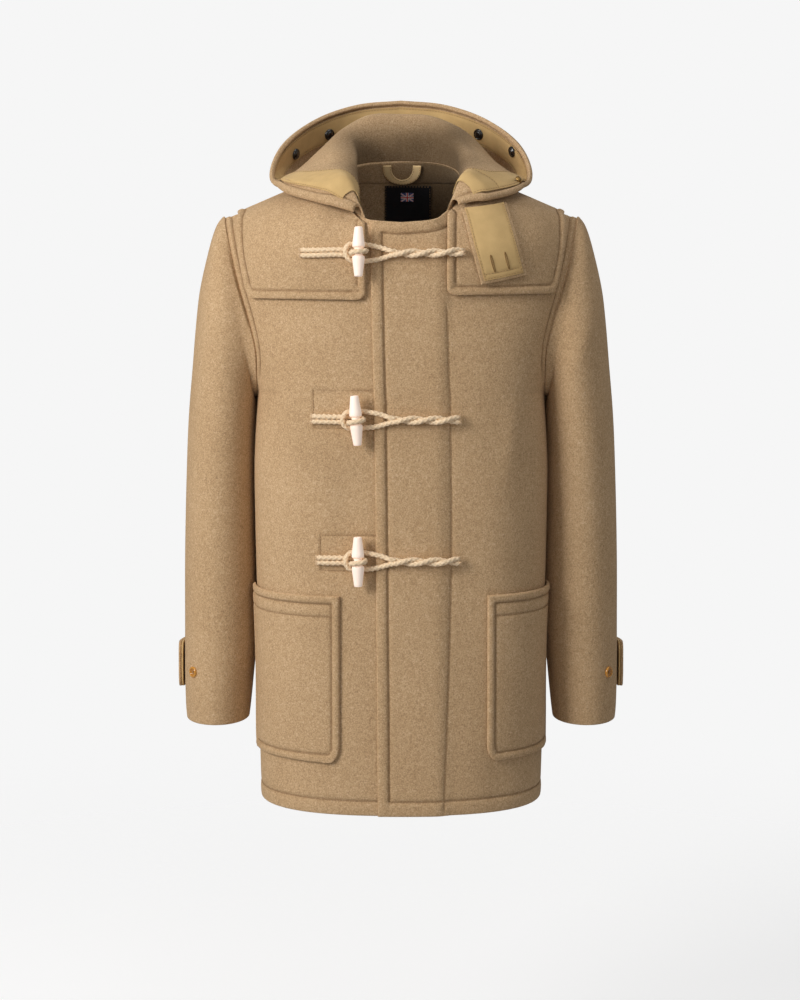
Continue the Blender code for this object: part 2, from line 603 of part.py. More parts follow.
def sleeve(name, side, front, back):
    loop = armhole()
    # The first narrow band carries on in the direction of the panels.
    ups = (len(RINGS) - 1 + np.arange(9)) / (front.row_count - 1)
    ahead, behind = (np.array([sheet.arrival(up) for up in ups]) for sheet in (front, back))
    carry = np.concatenate([[ahead[-1] + behind[-1]], ahead[-2:0:-1], [ahead[0] + behind[0]], behind[1:-1]])
    carry /= np.linalg.norm(carry, axis=1, keepdims=True)
    centre = loop.mean(axis=0)
    inward = (centre - loop) * (0, 1, 1)
    inward /= np.linalg.norm(inward, axis=1, keepdims=True)
    lean = 0.5 * smooth_step(loop[:, 2], RINGS[-1].z, RINGS[-1].z + 0.07)
    leave = np.array([0.88, 0, 0]) + inward * lean[:, None]
    leave /= np.linalg.norm(leave, axis=1, keepdims=True)
    turn = sleeve_turns()
    gap = np.full((len(loop), 1), SEAM / 2)
    gap[[0, 1, 2, -1, -2], 0] += (0.0012, 0.0008, 0.0005, 0.0008, 0.0005)   # room at the shoulder tip
    rows = [loop + carry * gap, loop + carry * (gap + EDGE_BAND)]
    for ring in SLEEVE_RINGS:
        own = sleeve_ring(ring, turn)
        rows.append(own * ring.free + (loop + leave * 0.012) * (1 - ring.free))
    return cloth(name, np.array(rows) * (side, 1, 1), WALL, "wool", closed=True, flip=side < 0)


def sleeve_at(angle, z, lift):
    """Points on the sleeve's lower tube, at degrees round it and heights."""
    levels = np.array([ring.out_z for ring in SLEEVE_RINGS])[::-1]
    columns = {key: np.array([getattr(ring, key) for ring in SLEEVE_RINGS])[::-1]
               for key in ("out_x", "in_x", "mid_y", "half_depth")}
    out_x, in_x, mid_y, half_depth = (np.interp(z, levels, columns[key])
                                      for key in ("out_x", "in_x", "mid_y", "half_depth"))
    turn = np.radians(angle)
    half = (out_x - in_x) / 2
    point = np.stack([in_x + half + half * np.cos(turn), mid_y - half_depth * np.sin(turn),
                      np.broadcast_to(z, np.shape(turn))], axis=-1)
    normal = np.stack([np.cos(turn) / half, -np.sin(turn) / half_depth, np.zeros(np.shape(turn))], axis=-1)
    normal /= np.linalg.norm(normal, axis=-1, keepdims=True)
    return point + normal * np.asarray(lift)[..., None], normal


def cuff_strap(name, side):
    """A strap of two layers, rounded at its free end, round the sleeve's outer side."""
    angles = np.linspace(STRAP_FROM, STRAP_TO, 12)
    mid, half = (STRAP_TOP + STRAP_BOTTOM) / 2, (STRAP_TOP - STRAP_BOTTOM) / 2
    rows = []
    for share in np.linspace(-1, 1, 6):
        cut = STRAP_CORNER * max(0.0, abs(share) - 0.6) / 0.4
        ends = np.concatenate([angles[:-1], [angles[-1] - cut]])
        heights = np.full_like(ends, mid + half * share)
        lift = STRAP_GAP + STRAP_WALL - 0.002 * smooth_step(-ends, 80, 125)
        rows.append(sleeve_at(ends, heights, lift)[0])
    return cloth(name, np.array(rows) * (side, 1, 1), STRAP_WALL, "wool", flip=side > 0)


def button(name, side, angle, z, lift):
    point, normal = sleeve_at(np.array(angle), np.array(z), np.array(lift))
    profile = [(0.0, BUTTON_THICK * 0.75), (BUTTON_RADIUS * 0.6, BUTTON_THICK * 0.75),
               (BUTTON_RADIUS * 0.82, BUTTON_THICK), (BUTTON_RADIUS, BUTTON_THICK * 0.6),
               (BUTTON_RADIUS * 0.9, 0.0), (0.0, 0.0)]
    thing = turned(name, profile, "amber", 14)
    aim(thing, point * (side, 1, 1), normal * (side, 1, 1))
    return thing


# ---------------------------------------------------------------- hood
def hood_table(shares):
    """Guide points (guide, column, 3) at signed shares: 0 back centre, 1 front end."""
    shares = np.asarray(shares, float)
    side, part = np.where(shares < 0, -1.0, 1.0), np.abs(shares)
    table = np.stack([spline(guide, part) for guide in HOOD_GUIDES.values()])
    table[..., 0] = np.maximum(table[..., 0], 0) * side
    last = len(NECKLINE) - 1
    base = len(HOOD_GUIDES["neck"]) - 1
    ends = np.where(side < 0, HOOD_END_AT[-1], HOOD_END_AT[1])
    knots = base * part + (ends - base) * smooth_step(part, 0.45, 1.0)
    mirror = np.stack([side, np.ones_like(side), np.ones_like(side)], axis=-1)
    table[0] = spline(NECKLINE, knots / last) * mirror
    moved = (spline(NECKLINE, ends / last) - np.array(NECKLINE[base])) * mirror
    table[1:] += moved * smooth_step(part, 0.62, 1.0)[:, None]
    beside = HOOD_SIDE_SHIFT * smooth_step(part, 0.2, 0.5) * (1 - smooth_step(part, 0.72, 0.95))
    table[1, :, 0] += beside
    table[2, :, 0] += beside * 0.4
    # The seam sits just inside and above the edge of the panels.
    table[0] *= (0.982, 0.982, 1.0)
    table[0, :, 2] += 0.0020 + 0.0015 * smooth_step(shares, 0.6, 1.0)
    return table


def hood_sections(shares, samples=161):
    """Dense sections (column, sample, 3) of the hood from neck seam to rim."""
    table = hood_table(shares)
    return np.swapaxes(spline(table, np.linspace(0, 1, samples)), 0, 1)


def hood(name):
    """A loft across the guides, the same number of rows between two of them everywhere."""
    knots = [guide + part / count for guide, count in enumerate(HOOD_ROWS_BETWEEN) for part in range(count)]
    knots = np.array(knots + [len(HOOD_GUIDES) - 1.0])
    table = hood_table(np.linspace(-1, 1, HOOD_COLUMNS + 1))
    return cloth(name, spline(table, knots / knots[-1]), HOOD_WALL, "wool")


def hood_inside(share, inset, lift):
    """A point on the hood's inside at a distance from the rim, and its normal."""
    sections = hood_sections([share - 0.01, share, share + 0.01])
    lines = [at_lengths(s, run_length(s)[-1] - np.array([inset + 0.003, inset, inset - 0.003]))
             for s in sections]
    normal = np.cross(lines[2][1] - lines[0][1], lines[1][2] - lines[1][0])
    normal /= np.linalg.norm(normal)
    return lines[1][1] + normal * lift, normal


def hood_facing(name):
    """The band sewn to the hood's inside, a little way in from the rim."""
    shares = np.linspace(-1, 1, HOOD_COLUMNS + 1)
    shares = np.concatenate([[-FACING_END[-1]], shares[(shares > -FACING_END[-1] + 0.01)
                                                       & (shares < FACING_END[1] - 0.01)], [FACING_END[1]]])
    bands = []
    for share, section in zip(shares, hood_sections(shares)):
        length = run_length(section)[-1]
        near_front = float(smooth_step(abs(share), 0.50, 0.75))
        outer = FACING_OUT_BACK + (FACING_OUT_FRONT - FACING_OUT_BACK) * near_front
        outer *= 1 - FACING_TAPER * float(smooth_step(abs(share), 0.80, 0.95))
        to_crest = run_length(section)[len(section) * 2 // (len(HOOD_GUIDES) - 1)]
        width = FACING_WIDTH_BACK + (FACING_WIDTH_FRONT - FACING_WIDTH_BACK) * near_front
        width = min(width, length - outer - to_crest)
        bands.append(at_lengths(section, length - outer - width * np.array([1.0, 0.75, 0.5, 0.25, 0.0])))
    rows = np.stack(bands, axis=1)
    normals = np.cross(np.gradient(rows, axis=1), np.gradient(rows, axis=0))
    normals /= np.linalg.norm(normals, axis=2, keepdims=True)
    return cloth(name, rows + normals * (FACING_GAP + FACING), FACING, "cotton")


def snap(row):
    point, normal = hood_inside(row.side * row.share, row.inset, row.height)
    radius = row.radius
    profile = [(0.0, SNAP_THICK), (radius * 0.55, SNAP_THICK * 0.85),
               (radius * 0.9, SNAP_THICK * 0.45), (radius, 0.0), (0.0, 0.0)]
    thing = turned(row.name, profile, row.colour, 16)
    aim(thing, point, normal)
    return thing


# ---------------------------------------------------------------- laid on the sheets
def sheet_lift(x, side):
    """Height of the front's visible side above the plain sheet."""
    return lap_lift(x) if side > 0 else np.zeros_like(x)


def front_yoke(name, sheet, side):
    count = 9
    edge_ups = np.linspace(0.5, 1, 60)
    inner = sheet.across_of_x(YOKE_INNER[side], edge_ups)
    rows = []
    for share in edged(0, 1, 10, 0.012):
        columns = []
        for part in edged(0, 1, count, 0.02):
            across = inner[-1] + (0.93 - inner[-1]) * part
            for _ in range(6):
                low = sheet.up_of_z(across, YOKE_BOTTOM[side])
                up = low + (sheet.yoke_top(across) - low) * share
                start = np.interp(up, edge_ups, inner)
                end = 1 - YOKE_ARMHOLE / sheet.width(up)
                across = start + (end - start) * part
            columns.append((across, up))
        across, up = np.array(columns).T
        x = sheet.at(across, up)[:, 0]
        rows.append(sheet.at(across, up, sheet_lift(x, side) + YOKE_GAP + WALL) * (side, 1, 1))
    return cloth(name, np.array(rows), WALL, "wool", flip=side < 0)


def back_yoke(name, sheet):
    rows = []
    for share in edged(0, 1, 10, 0.012):
        columns = []
        for part in edged(-1, 1, 18, 0.02):
            across = 0.9 * part
            for _ in range(6):
                low = sheet.up_of_z(across, BACK_YOKE_BOTTOM)
                up = low + (sheet.yoke_top(across) - low) * share
                across = (1 - YOKE_ARMHOLE / sheet.width(up)) * part
            columns.append((across, up))
        across, up = np.array(columns).T
        rows.append(sheet.at(across, up, np.full_like(up, BACK_YOKE_GAP + WALL)))
    return cloth(name, np.array(rows), WALL, "wool", flip=True)


def pocket(name, sheet, side):
    """A patch pocket: straight mouth, cut lower corners."""
    cut_across, cut_up = POCKET_CORNER
    heights = np.concatenate([[POCKET_BOTTOM, POCKET_BOTTOM + cut_up],
                              np.linspace(POCKET_BOTTOM + cut_up, POCKET_TOP, 7)[1:]])
    rows = []
    for z in heights:
        up = sheet.up_of_z(0.6, z)
        width = sheet.width(up)
        cut = cut_across * max(0.0, 1 - (z - POCKET_BOTTOM) / cut_up)
        start = float(sheet.across_of_x(POCKET_INNER[side], [up])[0])
        across = edged(start + cut / width, start + (POCKET_WIDTH[side] - cut) / width, 9, 0.004 / width)
        across = np.minimum(across, 0.999)
        middle = np.sin(math.pi * np.linspace(0, 1, len(across)))
        mouth = POCKET_MOUTH * smooth_step(z, POCKET_TOP - 0.07, POCKET_TOP) * middle
        x = sheet.at(across, np.full_like(across, up))[:, 0]
        lift = sheet_lift(x, side) + LAYER_GAP + WALL + mouth
        rows.append(sheet.at(across, np.full_like(across, up), lift) * (side, 1, 1))
    return cloth(name, np.array(rows), WALL, "wool", flip=side < 0)


def throat_tab(name, sheet, wall, lift, border, colour):
    """A four-cornered tab that hangs over the yoke of the wearer's left."""
    top_left, top_right, bottom_right, bottom_left = [np.array(c) for c in TAB_CORNERS]
    width = np.linalg.norm(top_right - top_left)
    length = np.linalg.norm(bottom_left - top_left)
    inset_across, inset_down = border / width, border / length
    rows = []
    for down in np.linspace(1 - inset_down, 0.0, 7):
        columns = []
        for part in np.linspace(inset_across, 1 - inset_across, 5):
            top = top_left + (top_right - top_left) * part
            bottom = bottom_left + (bottom_right - bottom_left) * part
            x, z = top + (bottom - top) * down
            columns.append(sheet.place(x, z))
        across, up = np.array(columns).T
        rows.append(sheet.at(across, up, np.full_like(up, lift + 0.001 * down)))
    return cloth(name, np.array(rows), wall, colour)


# ---------------------------------------------------------------- fastenings
def layers_at(x, z, up):
    """Height of the closed front's visible side above the plain sheet."""
    on_lap = x > -(LAP_HEM + (LAP_TOP - LAP_HEM) * up)
    side = -1 if x < 0 else 1
    on_yoke = abs(x) > YOKE_INNER[side] and z > YOKE_BOTTOM[side]
    return on_lap * float(lap_lift(np.array(x))) + on_yoke * (YOKE_GAP + WALL)


class Course:
    """A line across the closed front at one height, on which a cord lies."""

    def __init__(self, sheet, z):
        self.xs = np.linspace(-0.140, 0.105, 99)
        places = np.array([sheet.place(x, z) for x in self.xs])
        self.points = sheet.at(*places.T)
        self.normals = sheet.normal(*places.T)
        steps = np.array([layers_at(x, z, up) for x, up in zip(self.xs, places[:, 1])])
        level = np.max([np.roll(steps, shift) for shift in (-2, -1, 0, 1, 2)], axis=0)
        for _ in range(8):
            level[1:-1] = np.maximum(level[1:-1], (level[:-2] + level[2:]) / 2)
        self.level = level

    def axes(self, x):
        """Directions along the line, up the cloth and out of it."""
        out = np.stack([np.interp(x, self.xs, self.normals[:, k]) for k in range(3)], axis=-1)
        out /= np.linalg.norm(out, axis=-1, keepdims=True)
        upward = np.cross(out, (1.0, 0.0, 0.0))
        upward /= np.linalg.norm(upward, axis=-1, keepdims=True)
        return np.cross(upward, out), upward, out

    def at(self, x, above, height):
        """The point above the line along the cloth and at a height out of it."""
        base = np.stack([np.interp(x, self.xs, self.points[:, k]) for k in range(3)], axis=-1)
        _, upward, out = self.axes(x)
        raised = np.interp(x, self.xs, self.level) + height
        return base + upward * np.asarray(above)[..., None] + out * np.asarray(raised)[..., None]


CORD_LIES = CORD_RADIUS + LAYER_GAP    # height of a strand's centre on the cloth


def toggle(name, course, row):
    half = TOGGLE_LENGTH / 2
    upper = [(0.0, half), (TOGGLE_END_RADIUS * 0.72, half), (TOGGLE_END_RADIUS, half - 0.0018),
             (TOGGLE_RADIUS * 0.86, half * 0.55), (TOGGLE_RADIUS, TOGGLE_WAIST_HALF * 1.6),
             (TOGGLE_RADIUS * 0.97, TOGGLE_WAIST_HALF + 0.0003), (TOGGLE_WAIST, TOGGLE_WAIST_HALF - 0.0001)]
    profile = upper + [(radius, -height) for radius, height in reversed(upper)]
    thing = turned(name, profile, "horn", 14)
    along, upward, _ = course.axes(row.x)
    tilt = math.radians(row.tilt)
    aim(thing, course.at(row.x, 0.0, TOGGLE_AXIS), upward * math.cos(tilt) - along * math.sin(tilt))
    return thing


def toggle_cord(name, course, row):
    """Two strands from their sewn end to the toggle, and once round its waist."""
    half = CORD_PAIR / 2
    wrap = TOGGLE_WAIST + CORD_RADIUS + 2 * SEAM
    laid = np.linspace(row.cord_from, row.x - 0.0155, 5)
    route = [(x, half, CORD_LIES) for x in laid]
    route += [(row.x - 0.0080, half, CORD_LIES), (row.x - 0.0030, half, CORD_LIES + 0.0014)]
    for share in np.linspace(0, 1, 10):
        turn = math.radians(290 * share)
        route.append((row.x + wrap * math.sin(turn), half * (1 - 2 * share),
                      TOGGLE_AXIS - wrap * math.cos(turn)))
    route += [(row.x - 0.0100, -half, 0.0066), (row.x - 0.0122, -half, CORD_LIES + 0.0004)]
    route += [(x, -half, CORD_LIES) for x in laid[::-1]]
    return tube(name, course.at(*np.array(route).T), CORD_RADIUS, "cord")


def loop_cord(name, course, row):
    """A twisted pair that opens into a loop behind and round the toggle."""
    steps = max(8, int(round((row.loop_to - LOOP_JOIN_X) / TWIST_PITCH * 8)))
    xs = np.linspace(row.loop_to, LOOP_JOIN_X, steps + 1)
    phase = (xs - LOOP_JOIN_X) / TWIST_PITCH * 2 * math.pi + math.pi / 2
    spread = CORD_RADIUS * 1.3

    def strand(sign):
        return [(x, sign * spread * math.sin(p), CORD_LIES + spread * (1 + sign * math.cos(p)))
                for x, p in zip(xs, phase)]

    opened = [(-0.0235, 0.0064, CORD_LIES), (-0.0340, 0.0090, CORD_LIES), (row.x + 0.0075, 0.0106, CORD_LIES),
              (row.x, 0.0108, CORD_LIES), (row.x - 0.0065, 0.0110, CORD_LIES + 0.0018),
              (row.x - 0.0120, 0.0100, CORD_LIES + 0.0050), (row.x - 0.0160, 0.0056, 0.0106)]
    far = [(row.x - 0.0174, 0.0, 0.0112)]
    route = (strand(1) + opened + far + [(x, -above, height) for x, above, height in opened[::-1]]
             + strand(-1)[::-1])
    return tube(name, course.at(*np.array(route).T), CORD_RADIUS, "cord")


# ---------------------------------------------------------------- inside the neck
def hanging_loop(name, sheet):
    """A flat cotton band in a U below the back neck seam, inside the back."""
    rows = []
    for turn in np.linspace(0, math.pi, 13):
        columns = []
        for share in (0.0, 1.0):
            half = LOOP_OUTER + (LOOP_INNER - LOOP_OUTER) * share
            bottom = LOOP_OUTER_Z + (LOOP_INNER_Z - LOOP_OUTER_Z) * share
            x = LOOP_CENTRE_X - half * math.cos(turn)
            z = LOOP_TOP_Z - (LOOP_TOP_Z - bottom) * math.sin(turn) ** 0.8
            across, up = sheet.place(x, z)
            columns.append(sheet.at(np.array(across), np.array(up), np.array(-WALL - 0.0028)))
        rows.append(columns)
    return cloth(name, np.array(rows), FACING * 1.2, "cotton", flip=True)


def label(name, sheet):
    rows = []
    for z in np.linspace(LABEL_BOTTOM_Z, LABEL_TOP_Z, 5):
        columns = []
        for share in np.linspace(-1, 1, 6):
            across, up = sheet.place(LABEL_CENTRE_X + LABEL_HALF * share, z)
            columns.append(sheet.at(np.array(across), np.array(up), np.array(-WALL - 0.0012 - FACING)))
        rows.append(columns)
    return cloth(name, np.array(rows), FACING, "black")


# ---------------------------------------------------------------- assembly
def clear_scene():
    for thing in list(bpy.data.objects):
        bpy.data.objects.remove(thing, do_unlink=True)


def build():
    clear_scene()
    collection = bpy.data.collections.new("duffle_coat")
    bpy.context.scene.collection.children.link(collection)
    front, back = Sheet(-1), Sheet(1)
    front_panel("front_left", front, 1)
    front_panel("front_right", front, -1)
    back_panel("back", back)
    back_yoke("yoke_back", back)
    hood("hood")
    hood_facing("hood_facing")
    for row in SNAPS:
        snap(row)
    for side, word in ((1, "left"), (-1, "right")):
        sleeve(f"sleeve_{word}", side, front, back)
        front_yoke(f"yoke_{word}", front, side)
        pocket(f"pocket_{word}", front, side)
        cuff_strap(f"cuff_strap_{word}", side)
        button(f"cuff_button_{word}", side, FREE_BUTTON["angle"], FREE_BUTTON["z"], LAYER_GAP)
        button(f"strap_button_{word}", side, STRAP_BUTTON["angle"], STRAP_BUTTON["z"],
               STRAP_GAP + STRAP_WALL + LAYER_GAP)
    throat_tab("throat_tab", front, WALL, TAB_LIFT, 0.0, "wool")
    throat_tab("throat_tab_facing", front, FACING, TAB_LIFT + FACING + LAYER_GAP, TAB_BORDER, "cotton")
    hanging_loop("hanging_loop", back)
    label("label", back)
    for number, row in enumerate(TOGGLES, 1):
        course = Course(front, row.z)
        toggle(f"toggle_{number}", course, row)
        toggle_cord(f"toggle_cord_{number}", course, row)
        loop_cord(f"loop_cord_{number}", course, row)


build()
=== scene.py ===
"""Looks of a hip-length wool duffle coat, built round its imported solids.

The coat faces -Y, its wearer's left is +X and +Z is up.  The origin is at the
base of the neck, level with the shoulder tips.  Metres throughout.

Every cloth piece is a smooth surface of two shares, across and up, worked out
from level rings, arcs, guide lines and slanting sleeve rings.  A piece is cut
from such a surface as a closed shell with rounded edges, and its topstitching
is a set of tracks at fixed distances from its edges: the mesh is fine along a
track, the cloth sinks there, swells between it and the edge, and a thread of
single stitches lies in it.
"""
import logging
import math
from dataclasses import dataclass, field
from enum import Enum
from typing import Callable, ClassVar, NamedTuple, Sequence

import bpy
import numpy as np
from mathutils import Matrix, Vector


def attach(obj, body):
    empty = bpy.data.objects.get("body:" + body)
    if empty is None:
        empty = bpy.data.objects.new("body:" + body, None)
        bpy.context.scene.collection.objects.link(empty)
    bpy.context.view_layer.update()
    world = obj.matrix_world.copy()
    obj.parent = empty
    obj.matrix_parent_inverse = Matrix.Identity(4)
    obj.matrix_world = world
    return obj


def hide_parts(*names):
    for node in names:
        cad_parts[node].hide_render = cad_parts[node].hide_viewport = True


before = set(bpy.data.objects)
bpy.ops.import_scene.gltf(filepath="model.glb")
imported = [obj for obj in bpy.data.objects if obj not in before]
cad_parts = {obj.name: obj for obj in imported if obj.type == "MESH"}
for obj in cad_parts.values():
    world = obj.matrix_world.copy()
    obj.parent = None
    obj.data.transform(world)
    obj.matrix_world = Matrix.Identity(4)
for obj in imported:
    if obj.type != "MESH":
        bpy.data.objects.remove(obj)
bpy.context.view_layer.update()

LOG = logging.getLogger("duffle_coat")
Array = np.ndarray

# ---------------------------------------------------------------- sizes
WALL = 0.003            # thick wool cloth
FACING = 0.001          # cotton facing
TAPE = 0.0012           # strips that close the seams from inside
HOOD_WALL = 0.0025
YOKE_GAP = 0.0026       # gap between a yoke and the panel that it lies on
BACK_YOKE_GAP = 0.0040
LAYER_GAP = 0.0008
GRAIN = 0.0054          # usual width of a face on the big pieces
HEM_STITCH = 0.0194     # distances of stitch lines from their edges
LAP_STITCH = 0.0155
PATCH_STITCH = 0.0108
ARMHOLE_STITCH = 0.0085
ARMHOLE_BOTTOM = 0.575  # length of a side seam, beyond which the armhole begins
TAPE_STITCH = 0.0014    # on the label and the hanging loop
GROOVE_WIDTH = 0.0019   # half width of the furrow along a stitch line
STITCH_LONG, STITCH_GAP, THREAD_RADIUS = 0.0030, 0.0011, 0.00034
TUBE_UV = 0.0026        # UV metres round a cord or thread for each radian
PUCKER_WIDTH, PUCKER_PERIOD = 0.0055, 0.0085


class Ring(NamedTuple):
    """A level ring of the torso: a superellipse in two halves."""

    z: float
    half_width: float
    front: float
    back: float
    power: float


class Arc(NamedTuple):
    """A ring cut off at the armhole, which may rise or fall on its way."""

    centre_y: float
    centre_z: float
    arm_x: float
    arm_y: float
    arm_z: float
    power: float


class SleeveRing(NamedTuple):
    """A slanting ring of the sleeve; free says how far it has left the armhole's shape."""

    out_x: float
    out_z: float
    in_x: float
    in_z: float
    mid_y: float
    half_depth: float
    free: float


SIDE_SEAM_Y = -0.005
RINGS = (
    Ring(-0.779, 0.1885, 0.137, 0.132, 2.5),
    Ring(-0.700, 0.1905, 0.138, 0.133, 2.5),
    Ring(-0.600, 0.1905, 0.138, 0.132, 2.6),
    Ring(-0.500, 0.1935, 0.136, 0.128, 2.6),
    Ring(-0.400, 0.1955, 0.133, 0.125, 2.7),
    Ring(-0.320, 0.1960, 0.132, 0.126, 2.8),
    Ring(-0.240, 0.1920, 0.132, 0.128, 2.8),
)
FRONT_ARCS = (
    Arc(-0.132, -0.222, 0.1905, -0.034, -0.228, 2.80),
    Arc(-0.131, -0.198, 0.1895, -0.052, -0.206, 2.75),
    Arc(-0.130, -0.168, 0.1905, -0.062, -0.174, 2.60),
    Arc(-0.128, -0.133, 0.1985, -0.060, -0.138, 2.40),
    Arc(-0.125, -0.098, 0.2100, -0.052, -0.100, 2.20),
)
BACK_ARCS = (
    Arc(0.129, -0.215, 0.1915, 0.036, -0.228, 2.80),
    Arc(0.130, -0.185, 0.1930, 0.062, -0.200, 2.75),
    Arc(0.130, -0.150, 0.1980, 0.076, -0.160, 2.60),
    Arc(0.127, -0.110, 0.2060, 0.076, -0.115, 2.40),
    Arc(0.120, -0.068, 0.2155, 0.066, -0.072, 2.20),
)
# Sections over the shoulder, each from the centre line to the armhole: x, y, z.
FRONT_SHOULDER = (
    ((0.000, -0.1220, -0.063), (0.060, -0.1200, -0.058), (0.120, -0.1080, -0.038),
     (0.175, -0.0780, -0.036), (0.2225, -0.034, -0.056)),
    ((0.000, -0.1190, -0.032), (0.055, -0.1130, -0.024), (0.100, -0.0840, 0.010),
     (0.125, -0.0600, 0.019), (0.175, -0.0340, 0.007), (0.2310, -0.012, -0.022)),
)
BACK_SHOULDER = (
    ((0.000, 0.1080, -0.022), (0.060, 0.1060, -0.018), (0.120, 0.0980, -0.012),
     (0.175, 0.0760, -0.018), (0.2260, 0.047, -0.036)),
    ((0.000, 0.0880, 0.028), (0.050, 0.0820, 0.031), (0.095, 0.0620, 0.034),
     (0.125, 0.0520, 0.026), (0.175, 0.0400, 0.008), (0.2330, 0.028, -0.013)),
)
SHOULDER_TIP = (0.235, 0.010, -0.004)
# Half the neckline, from the back centre round to the front centre: x, y, z.
NECKLINE = (
    (0.000, 0.066, 0.073), (0.030, 0.061, 0.072), (0.055, 0.045, 0.069), (0.073, 0.020, 0.062),
    (0.079, -0.010, 0.053), (0.078, -0.042, 0.036), (0.069, -0.074, 0.017), (0.054, -0.098, 0.003),
    (0.038, -0.112, -0.004), (0.000, -0.117, -0.007),
)
NECK_SIDE = 4
NECK_SHARE = {-1: 0.56, 1: 0.45}
SEAM = 0.9999           # share across a panel at which its outer seam is read
LAP_TOP, LAP_HEM = 0.0404, 0.030            # how far each front reaches beyond the centre line
UNDERLAP_TOP, UNDERLAP_HEM = 0.026, 0.034
LAP_LIFT = WALL + 0.0012
LAP_FLAT, LAP_FADE = 0.046, 0.068

SLEEVE_RINGS = (
    SleeveRing(0.2440, -0.026, 0.1935, -0.246, 0.006, 0.0740, 0.40),
    SleeveRing(0.2565, -0.055, 0.1945, -0.256, 0.007, 0.0755, 0.75),
    SleeveRing(0.2655, -0.095, 0.1955, -0.270, 0.008, 0.0765, 1.00),
    SleeveRing(0.2715, -0.140, 0.1962, -0.288, 0.010, 0.0765, 1.00),
    SleeveRing(0.2770, -0.200, 0.1967, -0.316, 0.013, 0.0760, 1.00),
    SleeveRing(0.2835, -0.275, 0.1968, -0.356, 0.016, 0.0750, 1.00),
    SleeveRing(0.2875, -0.365, 0.1968, -0.410, 0.019, 0.0730, 1.00),
    SleeveRing(0.2900, -0.460, 0.1962, -0.480, 0.020, 0.0700, 1.00),
    SleeveRing(0.2905, -0.550, 0.1972, -0.555, 0.018, 0.0660, 1.00),
    SleeveRing(0.2905, -0.620, 0.2030, -0.620, 0.015, 0.0620, 1.00),
    SleeveRing(0.2895, -0.662, 0.2072, -0.662, 0.013, 0.0590, 1.00),
    SleeveRing(0.2880, -0.680, 0.2095, -0.680, 0.012, 0.0575, 1.00),
)

# Guide lines of the folded hood, half of each, from the back centre to the front end: x, y, z.
HOOD_GUIDES = (
    NECKLINE[:9],
    ((0.0000, 0.0600, 0.1060), (0.0340, 0.0550, 0.1050), (0.0575, 0.0380, 0.1000),
     (0.0665, 0.0140, 0.0900), (0.0680, -0.0120, 0.0770), (0.0675, -0.0430, 0.0580),
     (0.0625, -0.0730, 0.0400), (0.0530, -0.0950, 0.0250), (0.0410, -0.1115, 0.0050)),
    ((0.0000, 0.0840, 0.1355), (0.0420, 0.0780, 0.1335), (0.0760, 0.0580, 0.1180),
     (0.0920, 0.0250, 0.0950), (0.0960, -0.0120, 0.0790), (0.0910, -0.0450, 0.0670),
     (0.0780, -0.0780, 0.0560), (0.0620, -0.0970, 0.0430), (0.0450, -0.1125, 0.0110)),
    ((0.0000, 0.1080, 0.1120), (0.0560, 0.1040, 0.1100), (0.1030, 0.0820, 0.0950),
     (0.1335, 0.0450, 0.0670), (0.1470, 0.0020, 0.0540), (0.1470, -0.0380, 0.0490),
     (0.1020, -0.0860, 0.0420), (0.0765, -0.1030, 0.0345), (0.0490, -0.1140, 0.0120)),
    ((0.0000, 0.1240, 0.0050), (0.0550, 0.1220, 0.0120), (0.1080, 0.1000, 0.0480),
     (0.1400, 0.0580, 0.0560), (0.1530, 0.0070, 0.0490), (0.1505, -0.0417, 0.0460),
     (0.1070, -0.0888, 0.0353), (0.0806, -0.1048, 0.0275), (0.0504, -0.1150, 0.0114)),
    ((0.0000, 0.1340, -0.0760), (0.0500, 0.1330, -0.0690), (0.1050, 0.1110, -0.0100),
     (0.1435, 0.0640, 0.0490), (0.1575, 0.0100, 0.0465), (0.1520, -0.0434, 0.0445),
     (0.1081, -0.0897, 0.0334), (0.0815, -0.1057, 0.0255), (0.0511, -0.1155, 0.0109)),
    ((0.0000, 0.1500, -0.0840), (0.0500, 0.1480, -0.0770), (0.1060, 0.1230, -0.0160),
     (0.1480, 0.0700, 0.0460), (0.1620, 0.0120, 0.0460), (0.1534, -0.0450, 0.0430),
     (0.1090, -0.0908, 0.0315), (0.0822, -0.1066, 0.0236), (0.0517, -0.1160, 0.0103)),
    ((0.0000, 0.1660, -0.0720), (0.0530, 0.1630, -0.0650), (0.1110, 0.1330, -0.0060),
     (0.1530, 0.0760, 0.0500), (0.1665, 0.0130, 0.0475), (0.1545, -0.0465, 0.0415),
     (0.1095, -0.0917, 0.0293), (0.0827, -0.1075, 0.0217), (0.0523, -0.1165, 0.0096)),
    ((0.0000, 0.1900, 0.0100), (0.0660, 0.1810, 0.0160), (0.1220, 0.1440, 0.0520),
     (0.1590, 0.0810, 0.0660), (0.1708, 0.0140, 0.0515), (0.1562, -0.0492, 0.0385),
     (0.1097, -0.0935, 0.0248), (0.0829, -0.1091, 0.0182), (0.0530, -0.1174, 0.0078)),
    ((0.0000, 0.1700, 0.1580), (0.0600, 0.1610, 0.1520), (0.1150, 0.1270, 0.1320),
     (0.1560, 0.0730, 0.0990), (0.1715, 0.0120, 0.0610), (0.1575, -0.0525, 0.0340),
     (0.1080, -0.0960, 0.0180), (0.0820, -0.1115, 0.0125), (0.0535, -0.1184, 0.0045)),
)


